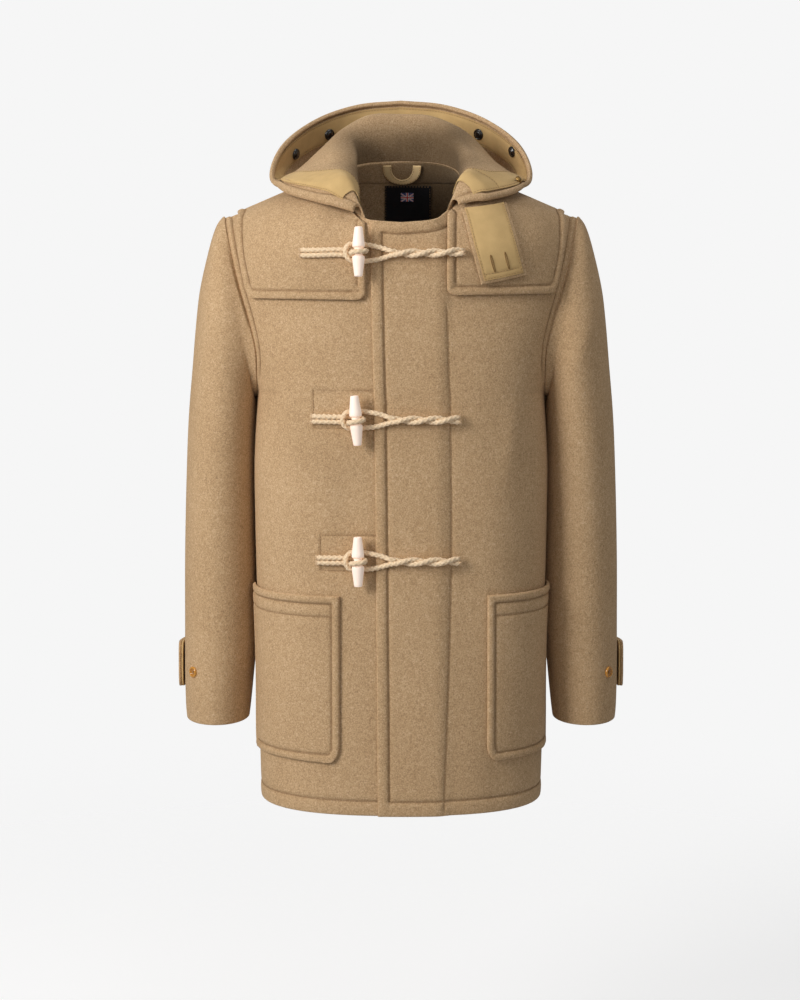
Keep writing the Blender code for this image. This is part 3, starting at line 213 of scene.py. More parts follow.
# ---------------------------------------------------------------- curves
def spline(points: Array, share: Array) -> Array:
    """Catmull-Rom curve through evenly numbered points.

    With p the part of the way from one point to the next, a place is
    ((2b) + (c - a)p + (2a - 5b + 4c - d)p^2 + (3b - a - 3c + d)p^3) / 2.

    Args:
        points: knots along the first axis, of any further shape.
        share: where along the curve, 0 to 1.

    Returns:
        The places, one for each share.
    """
    points = np.asarray(points, float)
    place = np.clip(np.asarray(share, float), 0, 1) * (len(points) - 1)
    first = np.minimum(place.astype(int), len(points) - 2)
    part = (place - first).reshape(place.shape + (1,) * (points.ndim - 1))
    padded = np.concatenate([2 * points[:1] - points[1:2], points, 2 * points[-1:] - points[-2:-1]])
    before, start, end, after = (padded[first + step] for step in range(4))
    return 0.5 * (2 * start + (end - before) * part
                  + (2 * before - 5 * start + 4 * end - after) * part ** 2
                  + (3 * start - before - 3 * end + after) * part ** 3)


def smooth_step(value: Array, low: float, high: float) -> Array:
    """0 below low, 1 above high and p * p * (3 - 2p) between them."""
    part = np.clip((value - low) / (high - low), 0, 1)
    return part * part * (3 - 2 * part)


def wobble(value: Array, period: float, seed: float) -> Array:
    """Uneven wave from -1 to 1: three sines whose periods have no common measure."""
    turn = 2 * math.pi * np.asarray(value) / period
    return (np.sin(turn + seed) + 0.6 * np.sin(turn * 1.73 + seed * 2.1)
            + 0.4 * np.sin(turn * 2.91 + seed * 3.7)) / 2.0


def run_length(points: Array) -> Array:
    """Distance walked along a line of points, from its first."""
    steps = np.linalg.norm(np.diff(points, axis=0), axis=1)
    return np.concatenate([[0.0], np.cumsum(steps)])


def read_at(x: Array, xs: Array, rows: Array) -> Array:
    """Rows of three numbers, which are known at xs, read at x."""
    return np.stack([np.interp(x, xs, rows[:, k]) for k in range(3)], axis=-1)


def at_lengths(points: Array, lengths: Array) -> Array:
    """Points of a line at the given distances along it."""
    return read_at(lengths, run_length(points), points)


def side_word(side: int) -> str:
    """Name of a side of the wearer: 1 is the left one."""
    return "left" if side > 0 else "right"


def unit(vectors: Array) -> Array:
    """Vectors of length 1."""
    return vectors / np.maximum(np.linalg.norm(vectors, axis=-1, keepdims=True), 1e-12)


# ---------------------------------------------------------------- surfaces
class Edge(Enum):
    """The edge of a piece from which a track is measured."""

    LEFT = "left"
    RIGHT = "right"
    BOTTOM = "bottom"
    TOP = "top"

    @property
    def upright(self) -> bool:
        """Whether the edge runs up the piece."""
        return self in (Edge.LEFT, Edge.RIGHT)

    @property
    def high(self) -> bool:
        """Whether the edge is where its share is 1."""
        return self in (Edge.RIGHT, Edge.TOP)


class Surface:
    """A smooth surface sampled on a dense grid, with shares across and up from 0 to 1."""

    NODES = 81

    def __init__(self, points: Array, closed: bool = False, flip: bool = False, even: bool = True,
                 folded: bool = False):
        """Take a grid of points (up, across, 3).

        Args:
            points: the grid; on a closed surface its last column repeats the first.
            closed: whether the surface joins up across.
            flip: whether the visible side is the other one.
            even: whether the shares are made proportional to length along the surface.
            folded: whether it folds back on itself, so that distances run along it.
        """
        self.closed, self.folded = closed, folded
        self.reaches: dict[Edge, Array] = {}
        if even:
            points = np.swapaxes(_evened(np.swapaxes(_evened(points), 0, 1)), 0, 1)
        self.points = points
        wide = np.concatenate([points[:, -2:-1], points, points[:, 1:2]], axis=1) if closed else points
        along_across = np.gradient(wide, axis=1)
        along_across = along_across[:, 1:-1] if closed else along_across
        normals = np.cross(along_across, np.gradient(points, axis=0))
        self.normals = unit(normals) * (-1 if flip else 1)
        self.row_lengths = np.linalg.norm(np.diff(points, axis=1), axis=2).sum(axis=1)
        self.column_lengths = np.linalg.norm(np.diff(points, axis=0), axis=2).sum(axis=0)

    def _sample(self, table: Array, across: Array, up: Array) -> Array:
        """Bilinear value of a table at shares."""
        rows, columns = table.shape[:2]
        row = np.clip(np.asarray(up, float) * (rows - 1), 0, rows - 1 - 1e-9)
        column = np.clip(np.asarray(across, float) * (columns - 1), 0, columns - 1 - 1e-9)
        i, j = row.astype(int), column.astype(int)
        a, b = (row - i)[..., None], (column - j)[..., None]
        return ((table[i, j] * (1 - b) + table[i, j + 1] * b) * (1 - a)
                + (table[i + 1, j] * (1 - b) + table[i + 1, j + 1] * b) * a)

    def at(self, across: Array, up: Array, lift: Array | float = 0.0) -> Array:
        """Points of the surface, moved out along its normals by lift."""
        return self._sample(self.points, across, up) + self.normal(across, up) * np.asarray(lift)[..., None]

    def normal(self, across: Array, up: Array) -> Array:
        """Unit normals on the visible side."""
        return unit(self._sample(self.normals, across, up))

    def width(self, up: Array) -> Array:
        """Length across at a share up."""
        return np.interp(up, np.linspace(0, 1, len(self.row_lengths)), self.row_lengths)

    def height(self, across: Array) -> Array:
        """Length up at a share across."""
        return np.interp(across, np.linspace(0, 1, len(self.column_lengths)), self.column_lengths)

    def distance(self, edge: Edge, across: Array, up: Array) -> Array:
        """Distance of places from an edge: straight to its line, or along a folded surface."""
        if self.folded:
            share, length = (across, self.width(up)) if edge.upright else (up, self.height(across))
            return (1 - share if edge.high else share) * length
        if edge not in self.reaches:
            self.reaches[edge] = self._reach(edge)[..., None]
        return self._sample(self.reaches[edge], across, up)[..., 0]

    def _reach(self, edge: Edge) -> Array:
        """Table of distances from an edge's line: the least distance from any of its pieces."""
        last = -1 if edge.high else 0
        line = self.points[:, last] if edge.upright else self.points[last]
        line = at_lengths(line, np.linspace(0, run_length(line)[-1], 161))
        starts, steps = line[:-1], np.diff(line, axis=0)
        nodes = np.linspace(0, 1, self.NODES)
        offset = self._sample(self.points, nodes[None, :], nodes[:, None])[:, :, None] - starts
        part = np.einsum("ijkl,kl->ijk", offset, steps) / np.maximum((steps ** 2).sum(axis=1), 1e-12)
        near = offset - np.clip(part, 0, 1)[..., None] * steps
        return np.sqrt((near ** 2).sum(axis=-1)).min(axis=-1)

    def share_at(self, edge: Edge, inset: Array, along: Array) -> Array:
        """Shares at which places are at a distance from an edge, for shares along it."""
        nodes = np.linspace(0, 1, self.NODES)
        shares = np.broadcast_arrays(nodes[None, :], along[:, None])
        reach = self.distance(edge, *(shares if edge.upright else shares[::-1]))
        if edge.high:
            reach, nodes = reach[:, ::-1], nodes[::-1]
        reach = np.maximum.accumulate(reach, axis=1)
        return np.array([np.interp(want, row, nodes) for want, row in zip(inset, reach)])

    def area(self) -> float:
        """Area in square metres: the sum of each cell's half diagonal product."""
        one = self.points[1:, 1:] - self.points[:-1, :-1]
        two = self.points[1:, :-1] - self.points[:-1, 1:]
        return float(np.linalg.norm(np.cross(one, two), axis=2).sum() / 2)

    def moved(self, lift: float) -> "Surface":
        """The surface moved out along its normals, as a new one."""
        copy = object.__new__(Surface)
        copy.__dict__.update(self.__dict__)
        copy.points, copy.reaches = self.points + self.normals * lift, {}
        return copy


def _evened(lines: Array) -> Array:
    """Each column of points (along, line, 3) resampled so that its points are evenly spaced."""
    steps = np.linalg.norm(np.diff(lines, axis=0), axis=2)
    walked = np.concatenate([np.zeros((1, lines.shape[1])), np.cumsum(steps, axis=0)])
    shares = np.linspace(0, 1, lines.shape[0])
    made = np.empty_like(lines)
    for number in range(lines.shape[1]):
        place = shares * walked[-1, number]
        for axis in range(3):
            made[:, number, axis] = np.interp(place, walked[:, number], lines[:, number, axis])
    return made


@dataclass(frozen=True)
class Track:
    """A line of topstitching, or another narrow line, along an edge.

    Attributes:
        edge: the edge that it follows.
        inset: its distance from that edge; several values are spread evenly along it.
        start: how far from the edge's low end it begins.
        stop: how far from the edge's high end it ends.
        depth: how far the cloth sinks there.
        swell: how far the cloth rises between it and the edge.
        sewn: whether a thread lies in it.
        step: how much lower the cloth lies beyond it than between it and the edge.
        fade: how softly its furrow and swell end.
    """

    edge: Edge
    inset: float | tuple[float, ...]
    start: float = 0.0
    stop: float = 0.0
    depth: float = 0.0015
    swell: float = 0.0
    sewn: bool = True
    step: float = 0.0
    fade: float = 0.0012

    def inset_at(self, share: Array) -> Array:
        """Distance from the edge at a share along it."""
        values = self.inset if isinstance(self.inset, tuple) else (self.inset, self.inset)
        return np.interp(share, np.linspace(0, 1, len(values)), values)

    def ends(self, surface: Surface, across: Array, up: Array) -> tuple[Array, Array]:
        """How far places are beyond the track's two ends, less than 0 before them."""
        low, high = (Edge.BOTTOM, Edge.TOP) if self.edge.upright else (Edge.LEFT, Edge.RIGHT)
        far = np.full(np.shape(up), 1.0)
        before = surface.distance(low, across, up) - self.start if self.start > 0 else far
        after = surface.distance(high, across, up) - self.stop if self.stop > 0 else far
        return before, after

    def line(self, surface: Surface) -> tuple[Array, Array]:
        """Shares across and up of points along the track, 0.8 mm apart."""
        length = surface.height(0.5) if self.edge.upright else surface.width(0.5)
        along = np.linspace(0, 1, max(8, int(length / 0.0008)))
        share = surface.share_at(self.edge, self.inset_at(along), along)
        across, up = (share, along) if self.edge.upright else (along, share)
        before, after = self.ends(surface, across, up)
        keep = (before >= 0) & (after >= 0)
        return across[keep], up[keep]


TRACK_STATIONS = (-0.0034, -0.0019, -0.0009, 0.0, 0.0009, 0.0019, 0.0034)
LEAST_GAP = 0.0001      # narrowest face between two lines
EDGE_STATIONS = (0.0, 0.00012, 0.0004, 0.0009, 0.0016, 0.0027)


def stations(knots: list[Array], length: Array, spacing: float, fine: float = 1.0) -> Array:
    """Distances from a piece's low edge at which its mesh has lines.

    Close together beside both edges and beside each knot, and evenly spread
    between them.

    Args:
        knots: distances of the tracks, one array for each, over the other direction.
        length: the whole distance, over the other direction.
        spacing: widest gap between two lines.
        fine: scale of the narrow bands beside the edges.

    Returns:
        Distances, with the stations along the first axis.
    """
    edge = np.array(EDGE_STATIONS) * fine
    low = [np.broadcast_to(offset, length.shape) for offset in edge]
    high = [length - offset for offset in edge[::-1]]
    groups = [low]
    for knot in sorted(knots, key=lambda values: float(np.mean(values))):
        groups.append([knot + offset for offset in TRACK_STATIONS])
    groups.append(high)
    lines = list(groups[0])
    for group in groups[1:]:
        start, end = lines[-1], group[0]
        count = int(np.ceil(np.max(end - start) / spacing))
        for step in range(1, count):
            lines.append(start + (end - start) * step / count)
        lines.extend(group)
    rank = LEAST_GAP * fine * np.arange(len(lines))[:, None]
    up = np.maximum.accumulate(np.clip(np.array(lines), 0, length) - rank, axis=0) + rank
    left = (length - np.minimum(up, length))[::-1]
    return np.maximum(length - (np.maximum.accumulate(left - rank, axis=0) + rank)[::-1], 0)


# ---------------------------------------------------------------- meshes
def make_mesh(name: str, points: Array, faces: Array, uv: Array | None = None,
              values: dict[str, Array] | None = None) -> bpy.types.Object:
    """A smooth mesh object at the origin.

    Args:
        name: name of the piece.
        points: its vertices (n, 3).
        faces: its quads or triangles, by vertex number.
        uv: one (u, v) for each vertex.
        values: further numbers for each vertex, by name.

    Returns:
        The object, linked to the scene.
    """
    mesh = bpy.data.meshes.new(name)
    mesh.from_pydata(points.tolist(), [], faces.tolist())
    mesh.shade_smooth()
    if uv is not None:
        corners = np.empty(len(mesh.loops), np.int32)
        mesh.loops.foreach_get("vertex_index", corners)
        layer = mesh.uv_layers.new(name="cloth")
        layer.data.foreach_set("uv", uv[corners].astype(np.float32).ravel())
    for key, numbers in (values or {}).items():
        attribute = mesh.attributes.new(key, "FLOAT", "POINT")
        attribute.data.foreach_set("value", np.asarray(numbers, np.float32).ravel())
    mesh.update()
    thing = bpy.data.objects.new(name, mesh)
    bpy.context.scene.collection.objects.link(thing)
    return thing


def grid_faces(rows: int, columns: int, wrap_across: bool = False, wrap_up: bool = False) -> Array:
    """Quads of a grid numbered row by row, joined up across or up if asked."""
    i, j = np.meshgrid(np.arange(rows if wrap_up else rows - 1),
                       np.arange(columns if wrap_across else columns - 1), indexing="ij")
    right, above = (j + 1) % columns, (i + 1) % rows
    return np.stack([i * columns + j, i * columns + right, above * columns + right,
                     above * columns + j], axis=-1).reshape(-1, 4)


def outward(points: Array, faces: Array) -> Array:
    """The faces of a closed mesh, turned over if they point inwards.

    The sum of a . (b x c) over its triangles is six times its volume.
    """
    a, b, c, d = (points[faces[:, k]] for k in range(4))
    volume = np.einsum("ij,ij->", a, np.cross(b, c)) + np.einsum("ij,ij->", a, np.cross(c, d))
    return faces if volume > 0 else faces[:, ::-1]


@dataclass
class Cloth:
    """A cut piece of cloth: a closed shell with rounded edges on a surface.

    Attributes:
        name: name of the piece.
        surface: its visible side.
        wall: its thickness.
        tracks: its topstitching and other narrow lines.
        spacing: usual width of a face.
        roundness: how far in from an edge its rounding reaches, as a share of the wall.
        back_tracks: tracks on its hidden side.
        relief: extra height for shares across and up and the points there.
        pucker: height of the small waves beside a seam.
        shade: how much painted shade each place gets, 0 to 1, for shares across and up and
        whether it is on the visible side.
        seams: points and normals along each sewn track, filled in by build.
    """

    name: str
    surface: Surface
    wall: float
    tracks: Sequence[Track] = ()
    spacing: float = GRAIN
    roundness: float = 0.5
    back_tracks: Sequence[Track] = ()
    relief: Callable[[Array, Array, Array], Array] | None = None
    pucker: float = 0.00016
    shade: Callable[[Array, Array, bool], Array] | None = None
    seams: list[tuple[Array, Array]] = field(default_factory=list)

    def _grid(self) -> tuple[Array, Array]:
        """Shares across and up of the mesh's lines."""
        surface, every = self.surface, [*self.tracks, *self.back_tracks]
        along = np.linspace(0, 1, 96)
        fine = self.wall / WALL
        knots: dict[bool, list[Array]] = {True: [], False: []}
        for track in every:
            share = surface.share_at(track.edge, track.inset_at(along), along)
            share = np.convolve(np.pad(share, 2, mode="edge"), np.full(5, 0.2), mode="valid")
            length = surface.width(along) if track.edge.upright else surface.height(along)
            knots[track.edge.upright].append(share * length)
        rows, columns = knots[False], knots[True]
        ups = stations(rows, surface.height(along), self.spacing, fine) / surface.height(along)
        if surface.closed:
            count = int(np.ceil(surface.row_lengths.max() / self.spacing))
            acrosses = np.repeat(np.linspace(0, 1, count + 1)[:-1, None], len(along), axis=1)
        else:
            acrosses = stations(columns, surface.width(along), self.spacing, fine) / surface.width(along)
        middle_up, middle_across = ups.mean(axis=1), acrosses.mean(axis=1)
        across = np.stack([np.interp(middle_up, along, line) for line in acrosses], axis=1)
        up = np.stack([np.interp(middle_across, along, line) for line in ups], axis=0)
        return across, up

    def _lines(self, tracks: Sequence[Track], across: Array, up: Array) -> tuple[Array, Array]:
        """Relief of a set of tracks, and how deep in a groove each place is, 0 to 1.

        At a distance d from a track the cloth sinks by depth * exp(-(d / groove width)^2),
        and at a share s of the way from the edge to it rises by swell * sin(pi s)^0.6.
        """
        surface = self.surface
        width, height = surface.width(up), surface.height(across)
        groove, swell, waves = np.zeros_like(up), np.zeros_like(up), np.zeros_like(up)
        for number, track in enumerate(tracks):
            from_edge = surface.distance(track.edge, across, up)
            walked, share = (up * height, up) if track.edge.upright else (across * width, across)
            inset = track.inset_at(share)
            beside = from_edge - inset
            before, after = track.ends(surface, across, up)
            here = smooth_step(before, -track.fade, 0.0) * smooth_step(after, -track.fade, 0.0)
            wide = (smooth_step(before + inset, -track.fade, 0.0)
                    * smooth_step(after + inset, -track.fade, 0.0))
            deep = here * np.exp(-(beside / GROOVE_WIDTH) ** 2)
            groove = np.minimum(groove, -track.depth * deep * (1 + 0.25 * wobble(walked, 0.019, number)))
            inside = np.clip(from_edge / inset, 0, 1)
            swell = np.maximum(swell, track.swell * np.sin(math.pi * inside) ** 0.6 * wide)
            waves += (self.pucker * here * np.exp(-(beside / PUCKER_WIDTH) ** 2)
                      * wobble(walked + 0.4 * beside, PUCKER_PERIOD, 1.7 * number))
            if track.step:
                swell = swell + track.step * (1 - smooth_step(beside, -0.0006, 0.0006)) * wide
        depth = max([track.depth for track in tracks] + [1e-6])
        return groove + swell + waves, np.clip(-groove / depth, 0, 1)

    def build(self) -> bpy.types.Object:
        """The piece's mesh.

        At a distance e from the edge, nearer than r, both sides close in by
        r' - sqrt(r'^2 - (1 - e/r)^2 r'^2), where r' is half the wall, so that
        they meet in a round edge.

        Returns:
            The object, with UVs in metres, the attribute groove for the painted shade of
            its stitch grooves, and shade, its painted shade, if it is given.
        """
        surface = self.surface
        across, up = self._grid()
        base, normal = surface.at(across, up), surface.normal(across, up)
        width, height = surface.width(up), surface.height(across)
        edge = np.minimum(up, 1 - up) * height
        if not surface.closed:
            edge = np.minimum(edge, np.minimum(across, 1 - across) * width)
        half, reach = self.wall / 2, self.wall * self.roundness
        near = 1 - np.clip(edge / reach, 0, 1)
        closing = half - np.sqrt(np.maximum(half ** 2 - (near * half) ** 2, 0))
        settle = smooth_step(edge, 0.0, reach)
        front, groove = self._lines(self.tracks, across, up)
        if self.relief is not None:
            front = front + self.relief(across, up, base)
        back, back_groove = self._lines(self.back_tracks, across, up)
        outer = base + normal * (front * settle - closing)[..., None]
        inner = base - normal * (self.wall - closing + back * settle)[..., None]
        rows, columns = up.shape
        border = np.zeros(up.shape, bool)
        border[[0, -1]] = True
        if not surface.closed:
            border[:, [0, -1]] = True
        number = np.arange(rows * columns).reshape(up.shape)
        behind = number.copy()
        behind[~border] = rows * columns + np.arange((~border).sum())
        faces = grid_faces(rows, columns, wrap_across=surface.closed)
        points = np.concatenate([outer.reshape(-1, 3), inner[~border]])
        every = np.concatenate([faces, behind.ravel()[faces][:, ::-1]])
        metres = np.stack([across * width.mean(), up * height], axis=-1)
        uv = np.concatenate([metres.reshape(-1, 2), metres[~border]])
        # groove marks the stitch grooves, where the materials paint shade
        values = {"groove": np.concatenate([groove.ravel(), back_groove[~border]])}
        # shade is painted shade: how much darker each place is coloured
        if self.shade is not None:
            values["shade"] = np.concatenate([self.shade(across, up, True).ravel(),
                                              self.shade(across, up, False)[~border]])
        for track in self.tracks:
            if track.sewn:
                a, b = track.line(surface)
                if len(a) > 4:
                    lift = -track.depth * 0.45
                    if self.relief is not None:
                        lift = lift + self.relief(a, b, surface.at(a, b))
                    self.seams.append((surface.at(a, b, lift), surface.normal(a, b)))
        return make_mesh(self.name, points, outward(points, every), uv, values)


def rods(rings: Array) -> tuple[Array, Array]:
    """Points and quads of many rods (rod, 4, 4, 3), each of four rings of four points with flat ends."""
    one = np.concatenate([grid_faces(4, 4, wrap_across=True), [[3, 2, 1, 0], [12, 13, 14, 15]]])
    one = outward(rings[0].reshape(-1, 3), one)
    return rings.reshape(-1, 3), (one[None] + 16 * np.arange(len(rings))[:, None, None]).reshape(-1, 4)


def thread(name: str, seams: list[tuple[Array, Array]]) -> bpy.types.Object:
    """Single stitches along seams, each a short rod whose ends dive into the cloth.

    Args:
        name: name of the piece.
        seams: points and normals along each seam.

    Returns:
        The object.
    """
    shares = np.array([0.0, 0.22, 0.78, 1.0])
    heights = np.array([-1.6, 0.35, 0.35, -1.6]) * THREAD_RADIUS
    girth = np.array([0.5, 1.0, 1.0, 0.5]) * THREAD_RADIUS
    turn = np.arange(4) * math.pi / 2 + math.pi / 4
    stitches = []
    for line, normals in seams:
        walked = run_length(line)
        begins = np.arange(0.0004, walked[-1] - STITCH_LONG, STITCH_LONG + STITCH_GAP)
        if not len(begins):
            continue
        place = begins[:, None] + shares * STITCH_LONG
        middle, out = read_at(place, walked, line), unit(read_at(place, walked, normals))
        side = np.cross(out, unit(np.gradient(middle, axis=1)))
        ring = side[:, :, None] * np.cos(turn)[:, None] + out[:, :, None] * np.sin(turn)[:, None]
        stitches.append(middle[:, :, None] + out[:, :, None] * heights[None, :, None, None]
                        + ring * girth[None, :, None, None])
    return make_mesh(name, *rods(np.concatenate(stitches)))


def capped(rings: Array, ends: Array) -> tuple[Array, Array]:
    """Points and quads of a tube of rings (ring, point, 3), closed by a fan round each of two end points."""
    count, sides = rings.shape[:2]
    first = np.arange(0, sides, 2)
    last, total = (count - 1) * sides, count * sides
    low = np.stack([first + 1, first, np.full_like(first, total), (first + 2) % sides], axis=1)
    high = np.stack([last + first, last + first + 1, last + (first + 2) % sides,
                     np.full_like(first, total + 1)], axis=1)
    return (np.concatenate([rings.reshape(-1, 3), ends]),
            np.concatenate([grid_faces(count, sides, wrap_across=True), low, high]))


def sweep(route: Array, radius: Callable[[Array, Array], Array], sides: int,
          hint: Array) -> tuple[Array, Array, Array]:
    """A tube round a route, whose radius is a function of distance along and angle round.

    Args:
        route: points along the middle, evenly spaced.
        radius: radius for distances (n, 1) and angles (1, sides).
        sides: number of points round it.
        hint: a direction that the angle is counted from, for each point.

    Returns:
        Points, quads and UVs; the ends are closed by caps.
    """
    along = unit(np.gradient(route, axis=0))
    side = unit(np.cross(along, hint))
    out = np.cross(side, along)
    walked = run_length(route)[:, None]
    angle = (np.arange(sides) * 2 * math.pi / sides)[None]
    reach = radius(walked, angle)[..., None]
    rings = (route[:, None] + (side[:, None] * np.cos(angle)[..., None]
                               + out[:, None] * np.sin(angle)[..., None]) * reach)
    points, faces = capped(rings, route[[0, -1]])
    uv = np.stack(np.broadcast_arrays(angle * TUBE_UV, walked), axis=-1).reshape(-1, 2)
    return points, faces, np.concatenate([uv, [[0, 0], [0, walked[-1, 0]]]])


def turned(profile: Array, sides: int, place: Array, axis: Array) -> tuple[Array, Array]:
    """A solid of revolution from (radius, height) rows, set at a place along an axis.

    A point is place + side * r cos t + front * r sin t + axis * h.

    Args:
        profile: rows of radius and height, from one pole to the other.
        sides: number of points round it.
        place: where height 0 is.
        axis: direction of the height.

    Returns:
        Points and quads.
    """
    axis = unit(np.asarray(axis, float))
    other = np.array([1.0, 0, 0]) if abs(axis[0]) < 0.8 else np.array([0, 1.0, 0])
    side = unit(np.cross(other, axis))
    front = np.cross(axis, side)
    turn = np.arange(sides) * 2 * math.pi / sides
    ring = side * np.cos(turn)[:, None] + front * np.sin(turn)[:, None]
    inner = profile[1:-1]
    rings = place + ring[None] * inner[:, 0, None, None] + axis * inner[:, 1, None, None]
    return capped(rings, place + axis * profile[[0, -1], 1][:, None])


def smooth_profile(rows: Sequence[tuple[float, float]], count: int) -> Array:
    """A profile rounded by a spline through its rows, starting and ending on the axis."""
    made = spline(np.array(rows, float), np.linspace(0, 1, count))
    made[:, 0] = np.maximum(made[:, 0], 0.00002)
    made[[0, -1], 0] = 0
    return made


# ---------------------------------------------------------------- node groups
Socket = bpy.types.NodeSocket
Colour = tuple[float, float, float]


class Nodes:
    """Short hand for making nodes in one tree."""

    def __init__(self, tree: bpy.types.NodeTree):
        """Work on a tree."""
        self.tree = tree

    def feed(self, node: bpy.types.Node, **sockets: object) -> bpy.types.Node:
        """Fill a node's inputs, by name with _ for a space, or by i and their number.

        A value is another node's socket, which is linked, or a plain value.
        """
        for key, value in sockets.items():
            index = int(key[1:]) if key[0] == "i" and key[1:].isdigit() else key.replace("_", " ")
            if isinstance(value, Socket):
                self.tree.links.new(value, node.inputs[index])
            else:
                node.inputs[index].default_value = value
        return node

    def add(self, kind: str, settings: dict | None = None, **sockets: object) -> bpy.types.Node:
        """A shader node with its settings and inputs."""
        node = self.tree.nodes.new(f"ShaderNode{kind}")
        for key, value in (settings or {}).items():
            setattr(node, key, value)
        return self.feed(node, **sockets)

    def math(self, operation: str, first: object, second: object = 0.0, clamp: bool = False) -> Socket:
        """The result of a Math node."""
        return self.add("Math", {"operation": operation, "use_clamp": clamp}, i0=first, i1=second).outputs[0]

    def times(self, first: object, second: object, clamp: bool = False) -> Socket:
        """A product, kept from 0 to 1 if clamped."""
        return self.math("MULTIPLY", first, second, clamp)

    def plus(self, first: object, *others: object, clamp: bool = False) -> Socket:
        """A sum, kept from 0 to 1 if clamped."""
        for other in others:
            first = self.math("ADD", first, other, clamp)
        return first

    def swing(self, value: object, middle: float, factor: float) -> Socket:
        """How far a value is from its middle, times a factor."""
        return self.times(self.math("SUBTRACT", value, middle), factor)

    def mix(self, share: object, first: object, second: object, blend: str = "MIX") -> Socket:
        """The result of a colour Mix node."""
        node = self.add("Mix", {"data_type": "RGBA", "blend_type": blend}, i0=share, i6=first, i7=second)
        return node.outputs[2]

    def noise(self, place: Socket, scale: float, detail: float, distortion: float = 0.0,
              roughness: float = 0.5) -> Socket:
        """A noise value from 0 to 1."""
        return self.add("TexNoise", None, Vector=place, Scale=scale, Detail=detail, Roughness=roughness,
                        Distortion=distortion).outputs[0]

    def turned(self, place: Socket, **settings: tuple[float, float, float]) -> Socket:
        """A place after a Mapping node's Rotation and Scale."""
        return self.add("Mapping", None, Vector=place, **settings).outputs[0]

    def place(self, kind: str) -> Socket:
        """Object or UV coordinates."""
        return self.add("TexCoord").outputs[kind]

    def read(self, name: str) -> Socket:
        """A number stored on the mesh."""
        return self.add("Attribute", {"attribute_name": name}).outputs["Fac"]

    def bump(self, height: Socket, strength: float, distance: float) -> Socket:
        """Normals of a height."""
        return self.add("Bump", None, Strength=strength, Distance=distance, Height=height).outputs[0]


class Kind(Enum):
    """Kinds of sockets on a node group."""

    NUMBER = "NodeSocketFloat"
    COLOUR = "NodeSocketColor"
    VECTOR = "NodeSocketVector"


def new_group(name: str, inputs: dict[str, Kind], outputs: dict[str, Kind]
              ) -> tuple[bpy.types.NodeTree, Nodes, dict[str, Socket], bpy.types.Node]:
    """An empty node group, its helper, the sockets given to it, and its output node."""
    tree = bpy.data.node_groups.new(name, "ShaderNodeTree")
    for way, sockets in (("INPUT", inputs), ("OUTPUT", outputs)):
        for label, kind in sockets.items():
            tree.interface.new_socket(label, in_out=way, socket_type=kind.value)
    given = tree.nodes.new("NodeGroupInput").outputs
    return tree, Nodes(tree), {label: given[label] for label in inputs}, tree.nodes.new("NodeGroupOutput")


def felt_group() -> bpy.types.NodeTree:
    """Felted wool: a mottled colour, and the height of a nap of short tangled fibres.

    Colour is the base, darkened and lightened by a coarse, a middle and a fine
    noise, with painted shade in the grooves of the sewing and wherever Shade is given.
    """
    tree, nodes, given, out = new_group(
        "felted_wool",
        {"Vector": Kind.VECTOR, "Base": Kind.COLOUR, "Dark": Kind.COLOUR, "Light": Kind.COLOUR,
         "Groove": Kind.NUMBER, "Mottle": Kind.NUMBER, "Shade": Kind.NUMBER},
        {"Colour": Kind.COLOUR, "Height": Kind.NUMBER, "Roughness": Kind.NUMBER})
    place, rough = given["Vector"], 0.6
    wide, patch, speck = (nodes.noise(place, scale, detail, distortion, rough)
                          for scale, detail, distortion in ((9, 2, 0.2), (170, 3, 0.5), (560, 2, 0.4)))
    long_way = nodes.turned(place, Scale=(1.0, 1.0, 0.42))
    cross_way = nodes.turned(place, Rotation=(0.5, 0.6, 0.7), Scale=(1.0, 0.4, 1.0))
    fibres = nodes.math("MAXIMUM", nodes.noise(long_way, 1500, 3, 1.2, rough),
                        nodes.noise(cross_way, 1300, 3, 1.2, rough))
    blend = nodes.plus(nodes.swing(wide, 0.5, 0.5), nodes.swing(patch, 0.5, 0.8),
                       nodes.swing(speck, 0.5, 3.0), nodes.swing(fibres, 0.56, 2.4))
    blend = nodes.times(blend, given["Mottle"])
    lighter = nodes.mix(nodes.times(blend, 1.0, True), given["Base"], given["Light"])
    darker = nodes.mix(nodes.times(blend, -1.0, True), lighter, given["Dark"])
    # painted shade: the stitch grooves darken towards a colour deeper than the dark wool
    groove_shade_colour = nodes.mix(1.0, given["Dark"], (0.62, 0.56, 0.5, 1), "MULTIPLY")
    colour = nodes.mix(nodes.times(given["Groove"], 0.30, True), darker, groove_shade_colour)
    # painted shade: where the shade attribute is 1, the colour falls to under a fifth
    hidden = nodes.mix(1.0, colour, (0.18, 0.17, 0.155, 1), "MULTIPLY")
    nodes.feed(out, Colour=nodes.mix(nodes.times(given["Shade"], 1.0, True), colour, hidden),
               Height=nodes.plus(nodes.times(fibres, 0.55),
                                 nodes.plus(nodes.times(speck, 0.9), nodes.times(patch, 0.8))),
               Roughness=nodes.plus(0.86, nodes.times(speck, 0.12)))
    return tree


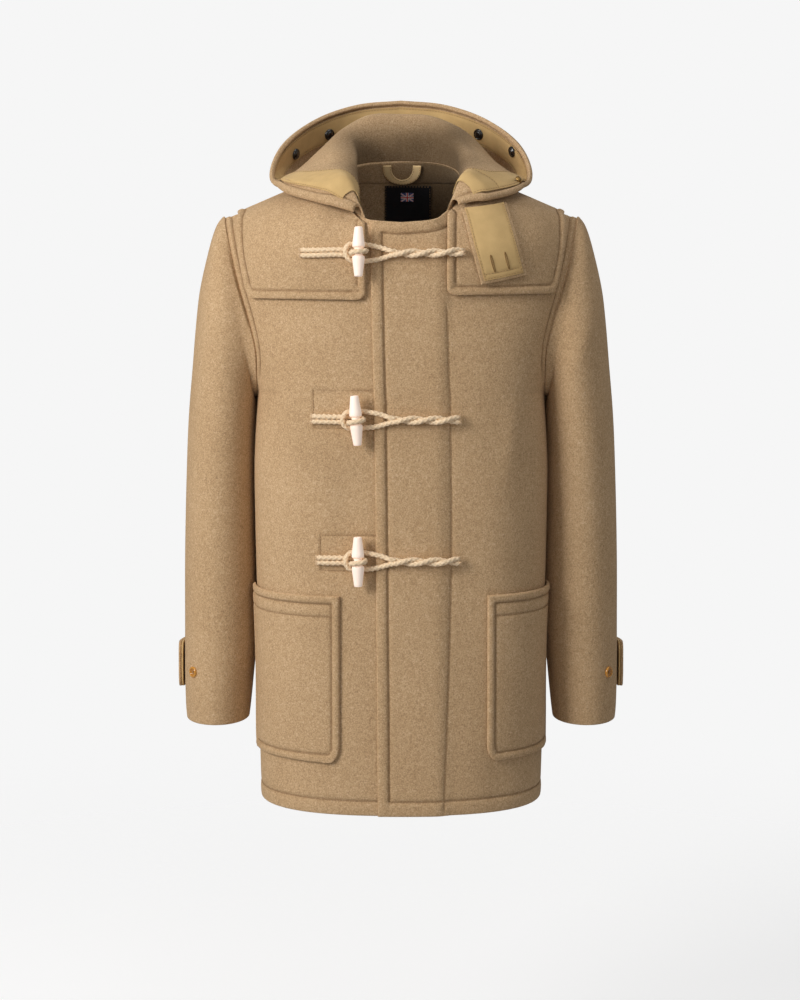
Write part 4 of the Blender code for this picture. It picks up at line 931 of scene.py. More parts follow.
def weave_group() -> bpy.types.NodeTree:
    """A twill of two sets of threads: height and shade from the UV's metres.

    Warp height is the sine's size at the place across, weft height that at the
    place up, and the diagonal u + v says which of them is on top.
    """
    tree, nodes, given, out = new_group(
        "twill_weave", {"Vector": Kind.VECTOR, "Pitch": Kind.NUMBER, "Diagonal": Kind.NUMBER},
        {"Shade": Kind.NUMBER, "Height": Kind.NUMBER, "Fleck": Kind.NUMBER})
    parts = nodes.add("SeparateXYZ", None, Vector=given["Vector"]).outputs
    step = nodes.math("DIVIDE", math.pi, given["Pitch"])
    u, v = nodes.times(parts[0], step), nodes.times(parts[1], step)
    warp, weft = (nodes.math("ABSOLUTE", nodes.math("SINE", way)) for way in (u, v))
    over = nodes.math("SINE", nodes.times(nodes.plus(u, v), given["Diagonal"]))
    pick = nodes.math("GREATER_THAN", over, 0.0)
    top = nodes.plus(nodes.times(warp, pick), nodes.times(weft, nodes.math("SUBTRACT", 1.0, pick)))
    fleck = nodes.noise(given["Vector"], 900.0, 3.0)
    nodes.feed(out, Shade=nodes.plus(nodes.times(top, 0.6), nodes.times(fleck, 0.4)),
               Height=nodes.plus(top, nodes.times(fleck, 0.5)), Fleck=nodes.noise(given["Vector"], 60.0, 2.0))
    return tree


_GROUPS: dict[str, bpy.types.NodeTree] = {}


def group(build: Callable[[], bpy.types.NodeTree]) -> dict[str, bpy.types.NodeTree]:
    """The setting of a Group node, whose group is built once and then found again."""
    if build.__name__ not in _GROUPS:
        _GROUPS[build.__name__] = build()
    return {"node_tree": _GROUPS[build.__name__]}


# ---------------------------------------------------------------- finishes
def rgba(colour: Colour) -> tuple[float, float, float, float]:
    """Linear colour with alpha from values 0 to 255 of the display."""
    shares = [value / 255 for value in colour]
    linear = [s / 12.92 if s <= 0.04045 else ((s + 0.055) / 1.055) ** 2.4 for s in shares]
    return (*linear, 1.0)


def blank(name: str) -> tuple[bpy.types.Material, Nodes, bpy.types.Node]:
    """A new material, its node helper and its Principled shader."""
    made = bpy.data.materials.new(name)
    made.use_nodes = True
    return made, Nodes(made.node_tree), made.node_tree.nodes["Principled BSDF"]


@dataclass(frozen=True)
class Wool:
    """Thick felted wool."""

    name: str = "camel_wool"
    base: Colour = (195, 162, 123)
    dark: Colour = (138, 110, 79)
    light: Colour = (232, 207, 174)
    mottle: float = 0.80

    def build(self) -> bpy.types.Material:
        """The material."""
        made, nodes, shader = blank(self.name)
        # painted shade reaches the wool through the groove and shade attributes
        felt = nodes.add("Group", group(felt_group), Vector=nodes.place("Object"), Base=rgba(self.base),
                         Dark=rgba(self.dark), Light=rgba(self.light), Groove=nodes.read("groove"),
                         Mottle=self.mottle, Shade=nodes.read("shade")).outputs
        nodes.feed(shader, Base_Color=felt["Colour"], Roughness=felt["Roughness"],
                   Normal=nodes.bump(felt["Height"], 0.75, 0.0009), Sheen_Weight=0.22, Sheen_Roughness=0.55,
                   Sheen_Tint=rgba((240, 214, 178)), Specular_IOR_Level=0.2)
        return made


@dataclass(frozen=True)
class Woven:
    """Thin woven cloth or tape, from its threads' pitch in metres."""

    name: str
    base: Colour
    dark: Colour
    pitch: float = 0.0007
    diagonal: float = 0.5
    roughness: float = 0.85
    strength: float = 0.5

    def build(self) -> bpy.types.Material:
        """The material."""
        made, nodes, shader = blank(self.name)
        weave = nodes.add("Group", group(weave_group), Vector=nodes.place("UV"), Pitch=self.pitch,
                          Diagonal=self.diagonal).outputs
        tone = nodes.plus(nodes.times(weave["Shade"], 0.55), nodes.times(weave["Fleck"], 0.7))
        colour = nodes.mix(nodes.math("SUBTRACT", tone, 0.08, True), rgba(self.dark), rgba(self.base))
        # painted shade: the cloth darkens towards its dark colour in the stitch grooves
        sunk = nodes.times(nodes.read("groove"), 0.35, True)
        nodes.feed(shader, Base_Color=nodes.mix(sunk, colour, rgba(self.dark)),
                   Normal=nodes.bump(weave["Height"], self.strength, 0.0002),
                   Roughness=self.roughness, Specular_IOR_Level=0.25, Sheen_Weight=0.08)
        return made


@dataclass(frozen=True)
class Jute:
    """Plaited natural cord: fibres that run slantwise round it."""

    name: str = "jute_cord"
    base: Colour = (254, 232, 200)
    dark: Colour = (214, 180, 138)

    def build(self) -> bpy.types.Material:
        """The material."""
        made, nodes, shader = blank(self.name)
        place = nodes.place("UV")
        fibre = nodes.math("MAXIMUM", *(
            nodes.noise(nodes.turned(place, Rotation=(0, 0, turn), Scale=(2600.0, 300.0, 1.0)), 1.0, 3.0, 0.6)
            for turn in (0.6, -0.6)))
        tone = nodes.plus(nodes.swing(fibre, 0.45, 3.0), 0.35, clamp=True)
        colour = nodes.mix(tone, rgba(self.dark), rgba(self.base))
        # painted shade: the cord darkens in the furrows between its plaited ridges
        sunk = nodes.times(nodes.read("groove"), 0.55, True)
        nodes.feed(shader, Base_Color=nodes.mix(sunk, colour, rgba(self.dark)),
                   Normal=nodes.bump(fibre, 0.6, 0.0003), Roughness=0.8, Sheen_Weight=0.1)
        return made


@dataclass(frozen=True)
class Hard:
    """A hard glossy finish with soft clouds and fine scratches."""

    name: str
    base: Colour
    dark: Colour
    roughness: float = 0.3
    cloud: float = 90.0
    stretch: tuple[float, float, float] = (1.0, 1.0, 0.3)
    metallic: float = 0.0
    coat: float = 0.3
    # painted light: how strongly the finish glows in its own colour
    painted_glow: float = 0.0

    def build(self) -> bpy.types.Material:
        """The material."""
        made, nodes, shader = blank(self.name)
        place = nodes.turned(nodes.place("Object"), Scale=self.stretch)
        fine = nodes.noise(place, self.cloud * 14, 2.0)
        tone = nodes.plus(nodes.swing(nodes.noise(place, self.cloud, 3.0, 0.8), 0.5, 2.2), 0.62, clamp=True)
        colour = nodes.mix(tone, rgba(self.dark), rgba(self.base))
        # painted shade: darker where the groove attribute marks hollows
        sunk = nodes.times(nodes.read("groove"), 0.8, True)
        # painted light: the base colour also glows, by the finish's glow strength
        nodes.feed(shader, Base_Color=nodes.mix(sunk, colour, rgba(self.dark)),
                   Roughness=nodes.plus(self.roughness - 0.06, nodes.times(fine, 0.14)),
                   Normal=nodes.bump(fine, 0.12, 0.0002), Metallic=self.metallic, Coat_Weight=self.coat,
                   Emission_Color=rgba(self.base), Emission_Strength=self.painted_glow)
        return made


@dataclass(frozen=True)
class Flag:
    """A small woven flag: red crosses edged with white on blue, from the UV's metres.

    With u and v from -1 to 1, the upright crosses lie where |u| or |v| is small and
    the slanting ones where |u| and |v| are nearly the same.
    """

    name: str = "woven_flag"
    wide: float = 0.0176
    high: float = 0.0120
    blue: Colour = (78, 80, 130)
    white: Colour = (255, 250, 248)
    red: Colour = (214, 72, 72)

    def build(self) -> bpy.types.Material:
        """The material."""
        made, nodes, shader = blank(self.name)
        parts = nodes.add("SeparateXYZ", None, Vector=nodes.place("UV")).outputs
        far = [nodes.math("ABSOLUTE", nodes.math("SUBTRACT", nodes.math("DIVIDE", parts[k], size / 2), 1.0))
               for k, size in ((0, self.wide), (1, self.high))]
        slant = nodes.math("ABSOLUTE", nodes.math("SUBTRACT", *far))
        upright = nodes.math("MINIMUM", far[0], nodes.times(far[1], self.high / self.wide))
        colour = rgba(self.blue)
        for distance, limit, tint in ((slant, 0.17, self.white), (slant, 0.06, self.red),
                                      (upright, 0.19, self.white), (upright, 0.10, self.red)):
            colour = nodes.mix(nodes.math("LESS_THAN", distance, limit), colour, rgba(tint))
        nodes.feed(shader, Base_Color=colour, Roughness=0.7)
        return made


class Finish(Enum):
    """The coat's finishes, each with the record's name of it."""

    WOOL = ("wool", Wool())
    COTTON = ("cotton", Woven("yellow_cotton", (224, 191, 134), (184, 151, 101)))
    # painted light: the loop's tape is a lighter copy of the cotton, so that it looks lit in the shade inside
    # the neck
    TAPE = ("cotton", Woven("loop_tape", (255, 226, 172), (226, 190, 138)))
    LABEL = ("label", Woven("black_label", (27, 26, 33), (10, 10, 14), pitch=0.0005, roughness=0.55))
    FLAG = ("label", Flag())
    CORD = ("cord", Jute())
    TOPSTITCH = ("wool", Woven("tan_thread", (186, 152, 112), (150, 118, 82), pitch=0.0005))
    BUTTON_THREAD = ("cotton", TOPSTITCH[1])
    WHIPPING = ("cotton", Woven("brown_thread", (160, 126, 80), (118, 88, 50), pitch=0.0005))
    # painted light: the pale toggles glow a little, so that they look evenly lit
    HORN = ("toggle", Hard("pale_horn", (255, 238, 225), (255, 229, 212), roughness=0.42, cloud=60,
                           coat=0.08, painted_glow=0.20))
    AMBER = ("button", Hard("amber_horn", (224, 158, 58), (150, 92, 30), roughness=0.22, cloud=420,
                            stretch=(1.0, 1.0, 1.0), coat=0.6))
    SNAP = ("snap", Hard("black_enamel", (22, 21, 24), (7, 7, 9), roughness=0.16, cloud=300, coat=1.0))
    BRASS = ("brass", Hard("satin_brass", (196, 158, 98), (132, 98, 50), roughness=0.34, cloud=500,
                           metallic=1.0, coat=0.0))

    def material(self) -> bpy.types.Material:
        """Its material, which is made once and then found again."""
        maker = self.value[1]
        return bpy.data.materials.get(maker.name) or maker.build()


def dress(thing: bpy.types.Object, finish: Finish, *nodes: str) -> None:
    """Give an object its finish, put it under the root, and hide the solids that it stands for."""
    thing.data.materials.append(finish.material())
    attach(thing, "root")
    if nodes:
        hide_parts(*nodes)
    triangles = sum(len(face.vertices) - 2 for face in thing.data.polygons)
    LOG.info("%s: %d triangles", thing.name, triangles)


def solid(name: str, points: Array, faces: Array, finish: Finish, *nodes: str, uv: Array | None = None,
          groove: Array | None = None) -> None:
    """Make a closed mesh and dress it.

    Args:
        name: name of the piece.
        points: its vertices.
        faces: its quads.
        finish: its finish.
        nodes: the solids that it stands for.
        uv: one (u, v) for each vertex.
        groove: how deep in a groove each vertex lies, 0 to 1.
    """
    values = {} if groove is None else {"groove": groove}
    dress(make_mesh(name, points, outward(points, faces), uv, values), finish, *nodes)


# ---------------------------------------------------------------- creases
@dataclass(frozen=True)
class Crease:
    """A soft ridge or trough between two points of the front or back, seen level.

    At a share t along it and a distance d from it the height is
    height * w(t) * exp(-(d / half_width)^2), where w rises and falls softly
    and the axis bows sideways by bow * sin(pi t).
    """

    x0: float
    z0: float
    x1: float
    z1: float
    half_width: float
    height: float
    bow: float = 0.0

    def at(self, x: Array, z: Array) -> Array:
        """Height of the crease at places."""
        dx, dz = self.x1 - self.x0, self.z1 - self.z0
        long = math.hypot(dx, dz)
        along = ((x - self.x0) * dx + (z - self.z0) * dz) / long ** 2
        beside = ((x - self.x0) * dz - (z - self.z0) * dx) / long
        beside = beside - self.bow * np.sin(math.pi * np.clip(along, 0, 1))
        envelope = smooth_step(along, -0.15, 0.35) * (1 - smooth_step(along, 0.6, 1.15))
        return self.height * envelope * np.exp(-(beside / self.half_width) ** 2)


FRONT_CREASES = (
    Crease(-0.172, -0.190, -0.150, -0.360, 0.016, -0.0030, 0.006),
    Crease(-0.150, -0.215, -0.128, -0.330, 0.013, 0.0016, 0.004),
    Crease(0.176, -0.200, 0.158, -0.380, 0.016, -0.0026, -0.006),
    Crease(0.150, -0.230, 0.135, -0.350, 0.012, 0.0014),
    Crease(-0.120, -0.270, -0.058, -0.262, 0.012, -0.0012),
    Crease(-0.150, -0.470, -0.062, -0.444, 0.014, -0.0010, 0.004),
    Crease(-0.072, -0.300, -0.066, -0.480, 0.020, -0.0022),
    Crease(-0.120, -0.350, -0.112, -0.600, 0.034, 0.0018),
    Crease(0.118, -0.330, 0.126, -0.520, 0.030, 0.0016),
    Crease(0.085, -0.420, 0.080, -0.700, 0.024, -0.0014),
    Crease(0.020, -0.300, 0.024, -0.560, 0.030, 0.0010),
    Crease(-0.020, -0.560, -0.010, -0.740, 0.026, -0.0012),
    Crease(-0.155, -0.700, -0.140, -0.775, 0.018, -0.0016),
    Crease(0.120, -0.690, 0.135, -0.775, 0.020, -0.0016),
)
BACK_CREASES = (
    Crease(-0.166, -0.165, -0.120, -0.370, 0.018, -0.0040, 0.012),
    Crease(0.168, -0.170, 0.128, -0.390, 0.017, -0.0036, -0.014),
    Crease(-0.132, -0.180, -0.090, -0.420, 0.020, 0.0026, 0.008),
    Crease(0.138, -0.190, 0.098, -0.400, 0.018, 0.0024, -0.006),
    Crease(-0.070, -0.300, -0.086, -0.640, 0.026, -0.0030),
    Crease(0.080, -0.330, 0.092, -0.690, 0.028, -0.0028),
    Crease(0.005, -0.220, 0.012, -0.560, 0.034, 0.0016),
    Crease(-0.020, -0.520, -0.030, -0.770, 0.030, -0.0022),
    Crease(0.050, -0.600, 0.056, -0.775, 0.026, 0.0022),
    Crease(-0.130, -0.560, -0.140, -0.770, 0.028, 0.0020),
    Crease(0.140, -0.620, 0.150, -0.770, 0.022, -0.0020),
)


# ---------------------------------------------------------------- torso
class Sheet(Surface):
    """The torso's front (facing -1) or back (facing +1), both halves.

    Its share across goes from -1 at the wearer's right armhole over 0 at the
    centre line to 1 at the left one; up is 0 at the hem and 1 at the neckline
    and shoulder seam.
    """

    FINE = 150
    STEPS = 18

    def __init__(self, facing: int, creases: Sequence[Crease]):
        """Work out the sheet.

        Rings are superellipses |x/a|^n + |y/b|^n = 1, arcs are parts of them
        that tilt towards the armhole, and a spline runs over all rows.

        Args:
            facing: -1 for the front and 1 for the back.
            creases: soft folds on it.
        """
        self.facing = facing
        arcs, over = (FRONT_ARCS, FRONT_SHOULDER) if facing < 0 else (BACK_ARCS, BACK_SHOULDER)
        shares = np.linspace(0, 1, self.FINE + 1)
        lines = ([self._ring(ring) for ring in RINGS] + [self._arc(arc) for arc in arcs]
                 + [spline(section, np.linspace(0, 1, 4 * self.FINE)) for section in over])
        rows = [at_lengths(line, shares * run_length(line)[-1]) for line in lines]
        rows.append(self._top(shares))
        self.row_count = len(rows)
        ups = np.linspace(0, 1, self.STEPS * (self.row_count - 1) + 1)
        under = len(RINGS) - 1
        half = spline(rows, ups)
        low = spline(rows[:under + 1], np.linspace(0, 1, self.STEPS * under + 1))
        high = spline(rows[under:], np.linspace(0, 1, len(ups) - self.STEPS * under))[1:]
        near_side = smooth_step(shares, 0.70, 0.97)[:, None]
        half = self._calmed(half * (1 - near_side) + np.concatenate([low, high]) * near_side, shares)
        whole = np.concatenate([half[:, 1:][:, ::-1] * (-1, 1, 1), half], axis=1)
        super().__init__(whole, flip=facing > 0, even=False)
        relief = sum(crease.at(whole[..., 0], whole[..., 2]) for crease in creases)
        relief = relief * (1 - smooth_step(np.abs(np.linspace(-1, 1, whole.shape[1])), 0.93, 1.0))
        super().__init__(whole + self.normals * relief[..., None], flip=facing > 0, even=False)
        self.half_widths = self.row_lengths / 2

    def _calmed(self, half: Array, shares: Array) -> Array:
        """Half the sheet, its bend at the underarm's height softened short of its outer edge.

        Each place there is mixed with the mean of the 21 rows round it.
        """
        rows = np.arange(len(half)) - self.STEPS * (len(RINGS) - 1)
        wide = np.pad(half, ((10, 10), (0, 0), (0, 0)), mode="edge")
        mean = np.mean([wide[first:first + len(half)] for first in range(21)], axis=0)
        near = smooth_step(shares, 0.55, 0.75) * (1 - smooth_step(shares, 0.93, 0.99))
        share = np.exp(-(rows / 14.0) ** 2)[:, None] * near
        return half + (mean - half) * share[..., None]

    def _curve(self, half_width: float, depth: float, power: float, last: float) -> tuple[Array, Array]:
        """x and y of a superellipse about the side seam, from the centre line to a last turn."""
        turn = np.linspace(0, last, 4 * self.FINE)
        return half_width * np.sin(turn) ** (2 / power), SIDE_SEAM_Y + depth * np.cos(turn) ** (2 / power)

    def _ring(self, ring: Ring) -> Array:
        """Half a level ring, from the centre line to the side seam."""
        depth = (ring.back if self.facing > 0 else -ring.front) - SIDE_SEAM_Y
        x, y = self._curve(ring.half_width, depth, ring.power, math.pi / 2)
        return np.stack([x, y, np.full_like(x, ring.z)], axis=1)

    def _arc(self, arc: Arc) -> Array:
        """An arc from the centre line to the armhole."""
        depth = arc.centre_y - SIDE_SEAM_Y
        left = (arc.arm_y - SIDE_SEAM_Y) / depth
        half_width = arc.arm_x / (1 - left ** arc.power) ** (1 / arc.power)
        x, y = self._curve(half_width, depth, arc.power, math.acos(left ** (arc.power / 2)))
        z = arc.centre_z + (arc.arm_z - arc.centre_z) * (x / arc.arm_x) ** 1.5
        return np.stack([x, y, z], axis=1)

    def _top(self, shares: Array) -> Array:
        """The neckline from the centre to the side, then the shoulder seam."""
        neck = spline(NECKLINE, np.linspace(0, 1, 9 * 30 + 1))
        side = NECK_SIDE * 30
        neck = neck[side:][::-1] if self.facing < 0 else neck[:side + 1]
        seam = np.array([neck[-1], SHOULDER_TIP])
        share = NECK_SHARE[self.facing]
        first, rest = shares[shares <= share], shares[shares > share]
        return np.concatenate([
            at_lengths(neck, first / share * run_length(neck)[-1]),
            at_lengths(seam, (rest - share) / (1 - share) * run_length(seam)[-1])])

    def _sample(self, table: Array, across: Array, up: Array) -> Array:
        """Bilinear value of a table, with across from -1 to 1."""
        return super()._sample(table, (np.asarray(across) + 1) / 2, up)

    def width(self, up: Array) -> Array:
        """Length of half a row, from the centre line to its outer end."""
        return np.interp(up, np.linspace(0, 1, len(self.half_widths)), self.half_widths)

    def across_of_x(self, x: float, up: Array) -> Array:
        """Where rows pass the plane at x."""
        acrosses = np.linspace(-1, 1, self.points.shape[1])
        rows = self._sample(self.points, acrosses[None, :], np.asarray(up)[:, None])
        return np.array([np.interp(x, row[:, 0], acrosses) for row in rows])

    def up_of_z(self, across: Array, z: float) -> Array:
        """How far up lines of constant across reach the height z."""
        ups = np.linspace(0, 1, len(self.points))
        lines = self._sample(self.points, np.asarray(across)[:, None], ups[None, :])[..., 2]
        return np.array([np.interp(z, np.maximum.accumulate(line), ups) for line in lines])

    def below_top(self, across: Array, distance: Array) -> Array:
        """How far up lines of constant across are at a distance from their top."""
        ups = np.linspace(0, 1, len(self.points))
        lines = self._sample(self.points, np.asarray(across)[:, None], ups[None, :])
        made = []
        for line, gap in zip(lines, distance):
            left = run_length(line[::-1])[::-1]
            made.append(np.interp(-gap, -left, ups))
        return np.array(made)

    def place(self, x: Array, z: Array) -> tuple[Array, Array]:
        """Shares of the points seen at x and z from the front, by Newton's method."""
        x, z = np.broadcast_arrays(np.asarray(x, float), np.asarray(z, float))
        across, up = np.clip(x / 0.22, -0.98, 0.98), np.clip((z + 0.78) / 0.8, 0.02, 0.98)
        step = 0.002
        for _ in range(30):
            here = self._sample(self.points, across, up)
            right = (self._sample(self.points, across + step, up) - here) / step
            above = (self._sample(self.points, across, up + step) - here) / step
            miss_x, miss_z = x - here[..., 0], z - here[..., 2]
            scale = right[..., 0] * above[..., 2] - above[..., 0] * right[..., 2]
            scale = np.where(np.abs(scale) < 1e-4, 1e-4, scale)
            d_across = (miss_x * above[..., 2] - miss_z * above[..., 0]) / scale
            d_up = (miss_z * right[..., 0] - miss_x * right[..., 2]) / scale
            across = np.clip(across + np.clip(d_across, -0.1, 0.1), -0.995, 0.993)
            up = np.clip(up + np.clip(d_up, -0.05, 0.05), 0.001, 0.995)
        return across, up


def lap_lift(x: Array) -> Array:
    """How far the left front stands off to clear the right front beneath it."""
    return LAP_LIFT * (1 - smooth_step(x, LAP_FLAT, LAP_FADE))


class Coat:
    """What the sub-assemblies share: the sheets and the seams to be sewn."""

    def __init__(self) -> None:
        """Work out the sheets."""
        self.front = Sheet(-1, FRONT_CREASES)
        self.back = Sheet(1, BACK_CREASES)
        self.seams: list[tuple[Array, Array]] = []

    def over_front(self, side: int, across: Array, up: Array, lift: Array | float = 0.0) -> Surface:
        """A surface over one front, at a height above that front's visible side."""
        points = self.front.at(across * side, up)
        lap = lap_lift(points[..., 0]) if side > 0 else 0.0
        return Surface(self.front.at(across * side, up, np.broadcast_to(lap + lift, up.shape)), flip=side < 0)

    def sew(self, cloth: Cloth, finish: Finish, node: str, *rests_on: str, held: str = "hung") -> None:
        """Build a cloth piece, dress it and keep its seams.

        Args:
            cloth: the piece.
            finish: its finish.
            node: the solid that it stands for, or "" where it is an extra layer.
            rests_on: what it hangs from; not used.
            held: how the cloth is held; not used.
        """
        thing, surface = cloth.build(), cloth.surface
        dress(thing, finish, *([node] if node else []))
        flat = (float(surface.row_lengths.max()), float(surface.column_lengths.max()))
        area = min(surface.area(), flat[0] * flat[1])
        self.seams.extend(cloth.seams)

    def close(self, name: str, surface: Surface, rests_on: str, spacing: float = 0.0040) -> None:
        """Sew in a thin piece inside the walls, which closes a seam."""
        self.sew(Cloth(name, surface, TAPE, spacing=spacing, pucker=0.0), Finish.WOOL, "", rests_on,
                 held="stretched")


def armhole_track(edge: Edge) -> Track:
    """The stitch line of a panel beside its armhole."""
    return Track(edge, ARMHOLE_STITCH, start=ARMHOLE_BOTTOM, stop=0.004, swell=0.0013, fade=0.016)


@dataclass
class Torso:
    """Both fronts and the back, from the hem to the neckline and shoulder seams."""

    coat: Coat
    facing_line: tuple[float, ...] = (0.0862, 0.0930, 0.0985, 0.0990, 0.0975, 0.0975)
    right_patches: tuple[tuple[float, float, float], ...] = (
        (-0.1139, -0.2232, -0.2724), (-0.1036, -0.4109, -0.4569))

    def _front(self, side: int) -> Surface:
        """Surface of one front, from its overlap edge to its side seam and armhole."""
        sheet = self.coat.front
        ups = np.linspace(0, 1, 420)
        low, high = (LAP_HEM, LAP_TOP) if side > 0 else (UNDERLAP_HEM, UNDERLAP_TOP)
        begin = -(low + (high - low) * ups) / sheet.width(ups)
        end = 1 - 0.00015 / sheet.width(ups)
        part = np.linspace(0, 1, 260)
        across = begin[:, None] + (end - begin)[:, None] * part
        up = np.broadcast_to(ups[:, None], across.shape)
        return self.coat.over_front(side, across, up)

    def build(self) -> None:
        """Build and dress the three panels."""
        coat = self.coat
        left = [
            Track(Edge.LEFT, LAP_STITCH, start=HEM_STITCH, stop=LAP_STITCH, swell=0.0017, depth=0.0018),
            Track(Edge.BOTTOM, HEM_STITCH, start=LAP_STITCH, swell=0.0009),
            Track(Edge.TOP, LAP_STITCH, start=LAP_STITCH, stop=0.150, swell=0.0014),
            Track(Edge.LEFT, self.facing_line, start=0.004, stop=0.115, depth=0.0011),
            armhole_track(Edge.RIGHT),
        ]
        over = self._front(1)
        coat.sew(Cloth("left_front_wool", over, WALL, left), Finish.WOOL, "front_left", "sleeve_left")
        under = self._front(-1)
        right = [Track(Edge.BOTTOM, HEM_STITCH, start=0.02, swell=0.0008), armhole_track(Edge.RIGHT),
                 *self._patches(under)]
        coat.sew(Cloth("right_front_wool", under, WALL, right), Finish.WOOL, "front_right", "sleeve_right")
        points = coat.back.at(np.linspace(-0.9995, 0.9995, 420)[None, :], np.linspace(0, 1, 420)[:, None])
        outline = [Track(Edge.BOTTOM, HEM_STITCH, swell=0.0008), armhole_track(Edge.LEFT),
                   armhole_track(Edge.RIGHT)]
        neck = Track(Edge.TOP, 0.0330, start=0.135, stop=0.135, depth=0.0006, sewn=False, step=0.0008)
        coat.sew(Cloth("back_wool", Surface(points, flip=True), WALL, outline, spacing=0.0062,
                       back_tracks=[neck], shade=self._painted_neck_shade), Finish.WOOL, "back", "hood")

    @staticmethod
    def _painted_neck_shade(across: Array, up: Array, visible: bool) -> Array:
        """Painted shade on the back's inner side, high up and most of all on the wearer's left."""
        deep = 0.96 * smooth_step(across, 0.43, 0.57)
        return np.zeros_like(up) if visible else deep * smooth_step(up, 0.6, 0.8)

    def _patches(self, surface: Surface) -> list[Track]:
        """Stitched rectangles under the two lower toggles, on the wearer's right front."""
        shares = [np.linspace(0, 1, count) for count in surface.points.shape[1::-1]]
        tracks = []
        for far, top, bottom in self.right_patches:
            corners = []
            for z in (bottom, top):
                away = np.hypot(surface.points[..., 0] - far, surface.points[..., 2] - z)
                row, column = np.unravel_index(int(away.argmin()), away.shape)
                across, up = shares[0][column], shares[1][row]
                corners.append({edge: float(surface.distance(edge, across, up)) for edge in Edge})
            for corner in corners:
                tracks.append(Track(Edge.BOTTOM, corner[Edge.BOTTOM], start=0.030, stop=corner[Edge.RIGHT],
                                    depth=0.0010))
            tracks.append(Track(Edge.LEFT, (corners[0][Edge.LEFT] + corners[1][Edge.LEFT]) / 2,
                                start=corners[0][Edge.BOTTOM], stop=corners[1][Edge.TOP], depth=0.0010))
        return tracks


@dataclass
class SeamTapes:
    """Narrow allowances inside the walls, which close the seams between panels and sleeves."""

    coat: Coat
    reach: float = 0.0055
    depth: float = 0.0009

    def _strip(self, name: str, rows: list[Array], normals: list[Array], flip: bool) -> None:
        """One tape through rows of points, sunk below the visible side along the panels' mean normals."""
        table = np.array([row - unit(normals[0] + normals[1]) * self.depth for row in rows])
        self.coat.close(name, Surface(table, flip=flip, even=False), "back")

    def _side(self, side: int) -> None:
        """Along the side seam, from the hem to the underarm."""
        ups = np.linspace(0.002, (len(RINGS) - 1) / (self.coat.front.row_count - 1), 260)
        rows, normals = [], []
        for sheet in (self.coat.front, self.coat.back):
            inner = 1 - self.reach / sheet.width(ups)
            edge = np.full_like(ups, SEAM)
            rows += [sheet.at(inner * side, ups), sheet.at(edge * side, ups)][::-sheet.facing]
            normals.append(sheet.normal(edge * side, ups))
        self._strip(f"side_seam_tape_{side_word(side)}", rows, normals, flip=side > 0)

    def _shoulder(self, side: int) -> None:
        """Along the shoulder seam, from the neck to the sleeve."""
        rows, normals = [], []
        top = np.ones(200)
        for sheet in (self.coat.front, self.coat.back):
            neck = NECK_SHARE[sheet.facing]
            along = neck + (0.9995 - neck) * np.linspace(0, 1, 200)
            low = sheet.below_top(along, np.full_like(along, self.reach))
            rows += [sheet.at(along * side, low), sheet.at(along * side, top)][::-sheet.facing]
            normals.append(sheet.normal(along * side, top))
        self._strip(f"shoulder_seam_tape_{side_word(side)}", rows, normals, flip=side < 0)

    def build(self) -> None:
        """Lay the tapes."""
        for side in (1, -1):
            self._side(side)
            self._shoulder(side)
            sleeve = Sleeve(self.coat, side)
            sleeve.tape(self.reach, self.depth)
            sleeve.web()


# ---------------------------------------------------------------- sleeves
class Fold(NamedTuple):
    """A soft fold of a sleeve: where it is up (share) and round (degrees), and its size."""

    level: float
    middle: float
    half_width: float
    height: float
    reach: float


FOLDS = (
    Fold(0.50, 150.0, 0.030, -0.0030, 60.0),
    Fold(0.56, 205.0, 0.026, -0.0028, 55.0),
    Fold(0.45, 75.0, 0.034, -0.0022, 42.0),
    Fold(0.62, 110.0, 0.030, -0.0018, 50.0),
    Fold(0.24, 60.0, 0.030, -0.0020, 36.0),
    Fold(0.20, 300.0, 0.034, -0.0024, 40.0),
    Fold(0.52, 290.0, 0.034, -0.0026, 45.0),
    Fold(0.60, 255.0, 0.028, 0.0020, 40.0),
    Fold(0.76, 80.0, 0.040, -0.0012, 60.0),
    Fold(0.36, 95.0, 0.050, 0.0014, 50.0),
)


